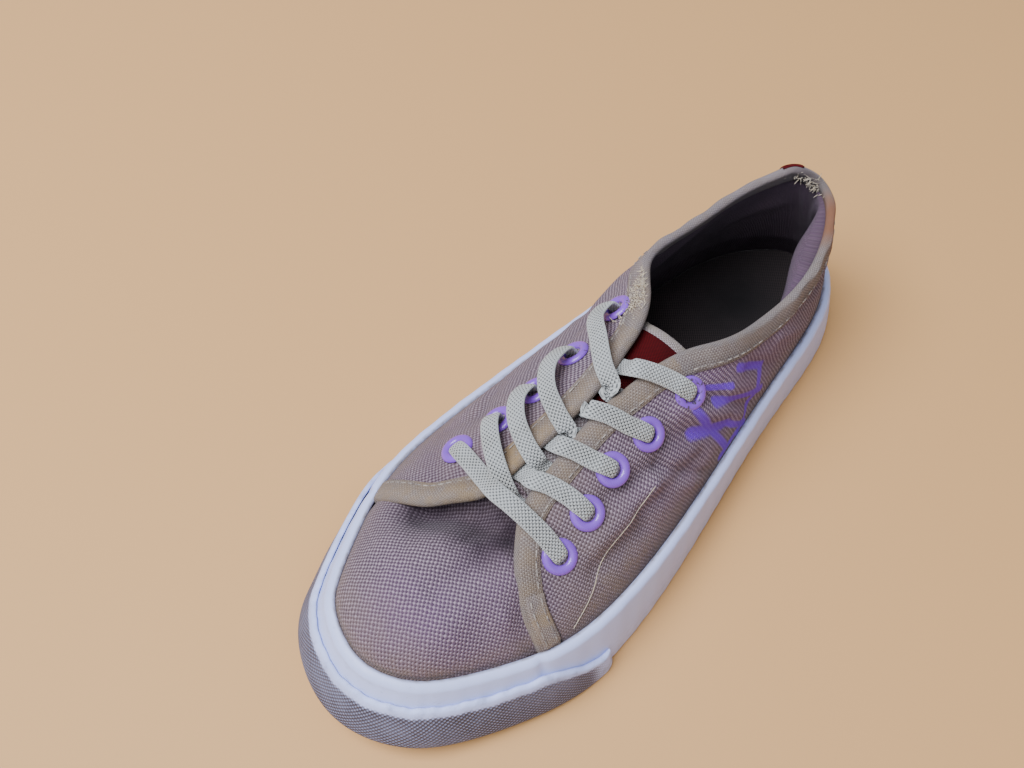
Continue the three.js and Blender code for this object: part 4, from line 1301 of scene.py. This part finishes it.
# Cubic Hermite pieces between the stops, with tangents from the neighbours weighed by the knot gaps
def hermite(knots, at, t):
    gaps = np.diff(knots)[:, None]
    slopes = np.diff(at, axis=0) / gaps
    tangents = np.concatenate([slopes[:1], (slopes[:-1] * gaps[1:] + slopes[1:] * gaps[:-1]) /
                               (gaps[1:] + gaps[:-1]), slopes[-1:]])
    i = np.clip(np.searchsorted(knots, t, side="right") - 1, 0, len(knots) - 2)
    h = (knots[i + 1] - knots[i])[:, None]
    f = ((t - knots[i])[:, None]) / h
    return ((2 * f ** 3 - 3 * f ** 2 + 1) * at[i] + (f ** 3 - 2 * f ** 2 + f) * h * tangents[i]
            + (3 * f ** 2 - 2 * f ** 3) * at[i + 1] + (f ** 3 - f ** 2) * h * tangents[i + 1])


# Centripetal spline through the stops, each a point, the normal of the flat side there and a width; the
# profile is a flat superellipse, bent up in its middle, the more so the narrower it is
def ribbonGrid(stops):
    at, normals, widths = (np.array(values) for values in zip(*stops))
    knots = np.concatenate([[0], np.cumsum(np.sqrt(np.linalg.norm(np.diff(at, axis=0), axis=1)))])
    dense = np.linspace(0, knots[-1], 1200)
    length = lengthsAlong(hermite(knots, at, dense))
    count = int(length[-1] / lace["step"])
    even = np.interp(np.linspace(0, length[-1], count), length, dense)
    path = hermite(knots, at, even)
    way = unit(np.gradient(path, axis=0))
    face = np.stack([np.interp(even, knots, normals[:, k]) for k in range(3)], -1)
    side = unit(np.cross(way, face))
    face = np.cross(side, way)
    half = np.interp(even, knots, widths)[:, None] / 2
    turn = np.linspace(0, 2 * np.pi, lace["sides"], endpoint=False)[None, :]
    x = np.sign(np.cos(turn)) * np.abs(np.cos(turn)) ** 0.45
    y = np.sign(np.sin(turn)) * np.abs(np.sin(turn)) ** 0.7 * lace["thick"] / 2
    bend = (lace["crown"] + (lace["width"] / 2 - half) * 0.9) * (1 - x ** 2)
    points = path[:, None] + side[:, None] * (x * half)[..., None] + face[:, None] * (y + bend)[..., None]
    cloth = clothOf(np.linspace(0, length[-1], count)[:, None], x * lace["width"] / 2)
    wear = wearOf(easeStep((np.abs(x) - 0.8) / 0.15) + 0 * half)
    return points, cloth, wear


# A stop over the canvas: its point, the cloth's normal and the lace's full width
def laceStop(s, w, offset):
    return skin(s, w, offset), lastNormal(s, w), lace["width"]


# The last stops of a run: a flat run goes over the ring's near side and down at the hole's far side, a slack
# one bends straight down into the hole; there the flat side faces the way that the run came along
def intoHole(at, before, slack=False):
    toward = squareTo(before[0] - at["centre"], at["normal"])
    rise, hole = at["lift"], lace["hole"]
    rows = [(4.4, rise + 1.75, 0.0, lace["width"]), (2.2, rise + 1.65, 0.2, hole + 0.4),
            (0.1, rise + 1.1, 1.0, hole), (-0.7, rise - 0.7, 4.0, hole - 0.5),
            (-0.6, -lace["under"], 9.0, lace["end"])]
    if slack:
        rows = [(1.7, rise + 3.6, 0.5, hole + 0.4), (0.5, rise + 1.6, 2.0, hole),
                (0.0, rise - 0.7, 6.0, hole - 0.5), (0.0, -lace["under"], 9.0, lace["end"])]
    return [(at["centre"] + toward * distance + at["normal"] * height,
             unit(at["normal"] - toward * tilt), width) for distance, height, tilt, width in rows]


# Runs in sections and shares of the rib, with their height over the canvas: from under an eyelet out through
# the throat, and over the other quarter to the next eyelet; the far runs are the slack ones
nearRuns = [
    [(17.45, 0.6, -3.4), (17.42, 0.78, -3.4), (17.4, 0.92, -3.2), (17.36, 1.0, -1.9), (8.6, 0.94, 1.1),
     (8.46, 0.86, 1.7), (8.3, 0.74, 1.7)],
    [(17.98, 0.7, -3.4), (17.94, 0.86, -3.3), (17.84, 0.99, -2.0), (8.13, 0.96, 1.1), (8.0, 0.88, 1.7),
     (7.82, 0.76, 1.7)],
    [(18.53, 0.72, -3.4), (18.48, 0.88, -3.3), (18.38, 0.99, -1.9), (7.6, 0.96, 1.1), (7.42, 0.87, 1.7),
     (7.22, 0.75, 1.7)],
    [(19.2, 0.72, -3.4), (19.15, 0.88, -3.2), (19.06, 0.98, -1.6), (6.92, 0.99, 1.7), (6.76, 0.93, 2.0),
     (6.58, 0.85, 1.7)],
]
farRuns = [
    [(8.7, 0.62, -3.4), (8.8, 0.8, -3.4), (8.92, 0.93, -3.0), (17.06, 1.0, -0.7), (17.23, 0.91, 2.0),
     (17.5, 0.79, 4.2), (17.76, 0.69, 4.9)],
    [(8.16, 0.68, -3.4), (8.28, 0.84, -3.4), (8.42, 0.95, -2.9), (17.55, 1.0, -0.4), (17.68, 0.91, 2.4),
     (17.92, 0.79, 4.8), (18.2, 0.7, 5.4)],
    [(7.63, 0.72, -3.4), (7.78, 0.87, -3.4), (7.94, 0.96, -2.9), (18.03, 1.0, -0.3), (18.17, 0.91, 2.6),
     (18.44, 0.78, 5.0), (18.78, 0.69, 5.8)],
    [(7.01, 0.72, -3.4), (7.12, 0.87, -3.3), (7.26, 0.96, -2.6), (18.74, 1.0, 0.1), (18.91, 0.93, 3.1),
     (19.24, 0.84, 5.4), (19.6, 0.76, 5.6)],
]
barStops = [(17.3, 0.68, 1.7), (17.12, 0.84, 2.2), (16.98, 0.97, 3.2), (8.98, 0.93, 3.2), (8.88, 0.81, 2.2),
            (8.77, 0.67, 1.7)]


# A crossing run: it starts under one eyelet, follows its stops and ends in another
def laceRun(start, end, stops, slack):
    middle = [laceStop(*stop) for stop in stops]
    first = (start["centre"] - start["normal"] * lace["startUnder"], start["normal"], lace["end"])
    return [first, *middle, *intoHole(end, middle[-1], slack)]


# The bar across the front pair, then a slack run and a flat one from each pair to the next
def makeLaces():
    lateral, medial = eyelets["lateral"], eyelets["medial"]
    bar = [laceStop(*stop) for stop in barStops]
    routes = [[*intoHole(medial[0], bar[0])[::-1], *bar, *intoHole(lateral[0], bar[-1])]]
    for i in range(4):
        routes.append(laceRun(lateral[i], medial[i + 1], farRuns[i], True))
        routes.append(laceRun(medial[i], lateral[i + 1], nearRuns[i], False))
    for number, route in enumerate(routes):
        points, cloth, wear = ribbonGrid(route)
        addTube(f"elastic_run_{number + 1}", points, elastic, cloth, wear)
    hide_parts("lace")


makeLaces()
print("lace ready")

# Floor, lights and camera
floorLook = {"colour": paint(212, 162, 106), "patch": paint(200, 148, 94), "size": 2.4}


# Floor: a bare square, faintly clouded
def makeFloor():
    finish = Finish("pale_floor", roughness=0.6, specular=0.25)
    cloud = finish.noise(finish.place, 3.0, 4)
    colour = finish.mix(finish.band(cloud, 0.3, 0.7, (0.0, 0.08)), floorLook["colour"], floorLook["patch"])
    half = floorLook["size"] / 2
    mesh = bpy.data.meshes.new("floor")
    corners = [(-half, -half, 0), (half, -half, 0), (half, half, 0), (-half, half, 0)]
    mesh.from_pydata(corners, [], [(0, 1, 2, 3)])
    mesh.materials.append(finish.done(colour))
    floor = bpy.data.objects.new("floor", mesh)
    bpy.context.collection.objects.link(floor)


# A lamp or a camera, from its right, up and back ways and its place in metres
def addHolder(name, data, ways, at):
    place = np.eye(4)
    place[:3, :3] = np.stack(ways, 1)
    place[:3, 3] = at
    holder = bpy.data.objects.new(name, data)
    holder.matrix_world = Matrix(place.tolist())
    bpy.context.collection.objects.link(holder)
    return holder


lights = {
    "window": {"at": (0.5, -0.35, 1.3), "size": 1.0, "power": 39, "colour": (0.88, 0.93, 1.0)},
    "room": {"at": (0.9, 0.8, 1.1), "size": 1.6, "power": 7, "colour": (0.9, 0.93, 1.0)},
}
lightTarget = np.array([0.02, 0, 0.02])
roomGlow = {"colour": (0.8, 0.87, 1.0, 1.0), "strength": 0.34}


# Two soft lamps that face the shoe, and a faint glow all round
def makeLights():
    for name, spec in lights.items():
        lamp = bpy.data.lights.new(name, "AREA")
        lamp.size = spec["size"]
        lamp.energy = spec["power"]
        lamp.color = spec["colour"]
        back = unit(np.array(spec["at"]) - lightTarget)
        right = unit(np.cross([0, 0, 1], back))
        addHolder(name, lamp, [right, np.cross(back, right), back], spec["at"])
    world = bpy.data.worlds.new("soft_room")
    bpy.context.scene.world = world
    world.use_nodes = True
    background = world.node_tree.nodes["Background"]
    background.inputs["Color"].default_value = roomGlow["colour"]
    background.inputs["Strength"].default_value = roomGlow["strength"]


# The photograph's camera, in the shoe's own millimetres: where it stands, and its right and down ways
view = {
    "at": (226.82, 75.41, 259.6), "right": (-0.7005, 0.7136, -0.00875), "down": (0.60846, 0.5908, -0.52985),
    "focalPixels": 900.0, "imageWidth": 1024.0, "sensor": 36.0,
}


# The down way is made square to the right way; the lens is the focal length over the image's width
def makeCamera():
    right = unit(np.array(view["right"]))
    down = squareTo(np.array(view["down"]), right)
    camera = bpy.data.cameras.new("camera")
    camera.sensor_width = view["sensor"]
    camera.lens = view["focalPixels"] / view["imageWidth"] * view["sensor"]
    camera.clip_start = 0.01
    camera.dof.use_dof = False
    at = toFrame(np.array(view["at"]))
    holder = addHolder("camera", camera, [right, -down, -np.cross(right, down)], at)
    bpy.context.scene.camera = holder


makeFloor()
makeLights()
makeCamera()

print("scene ready")
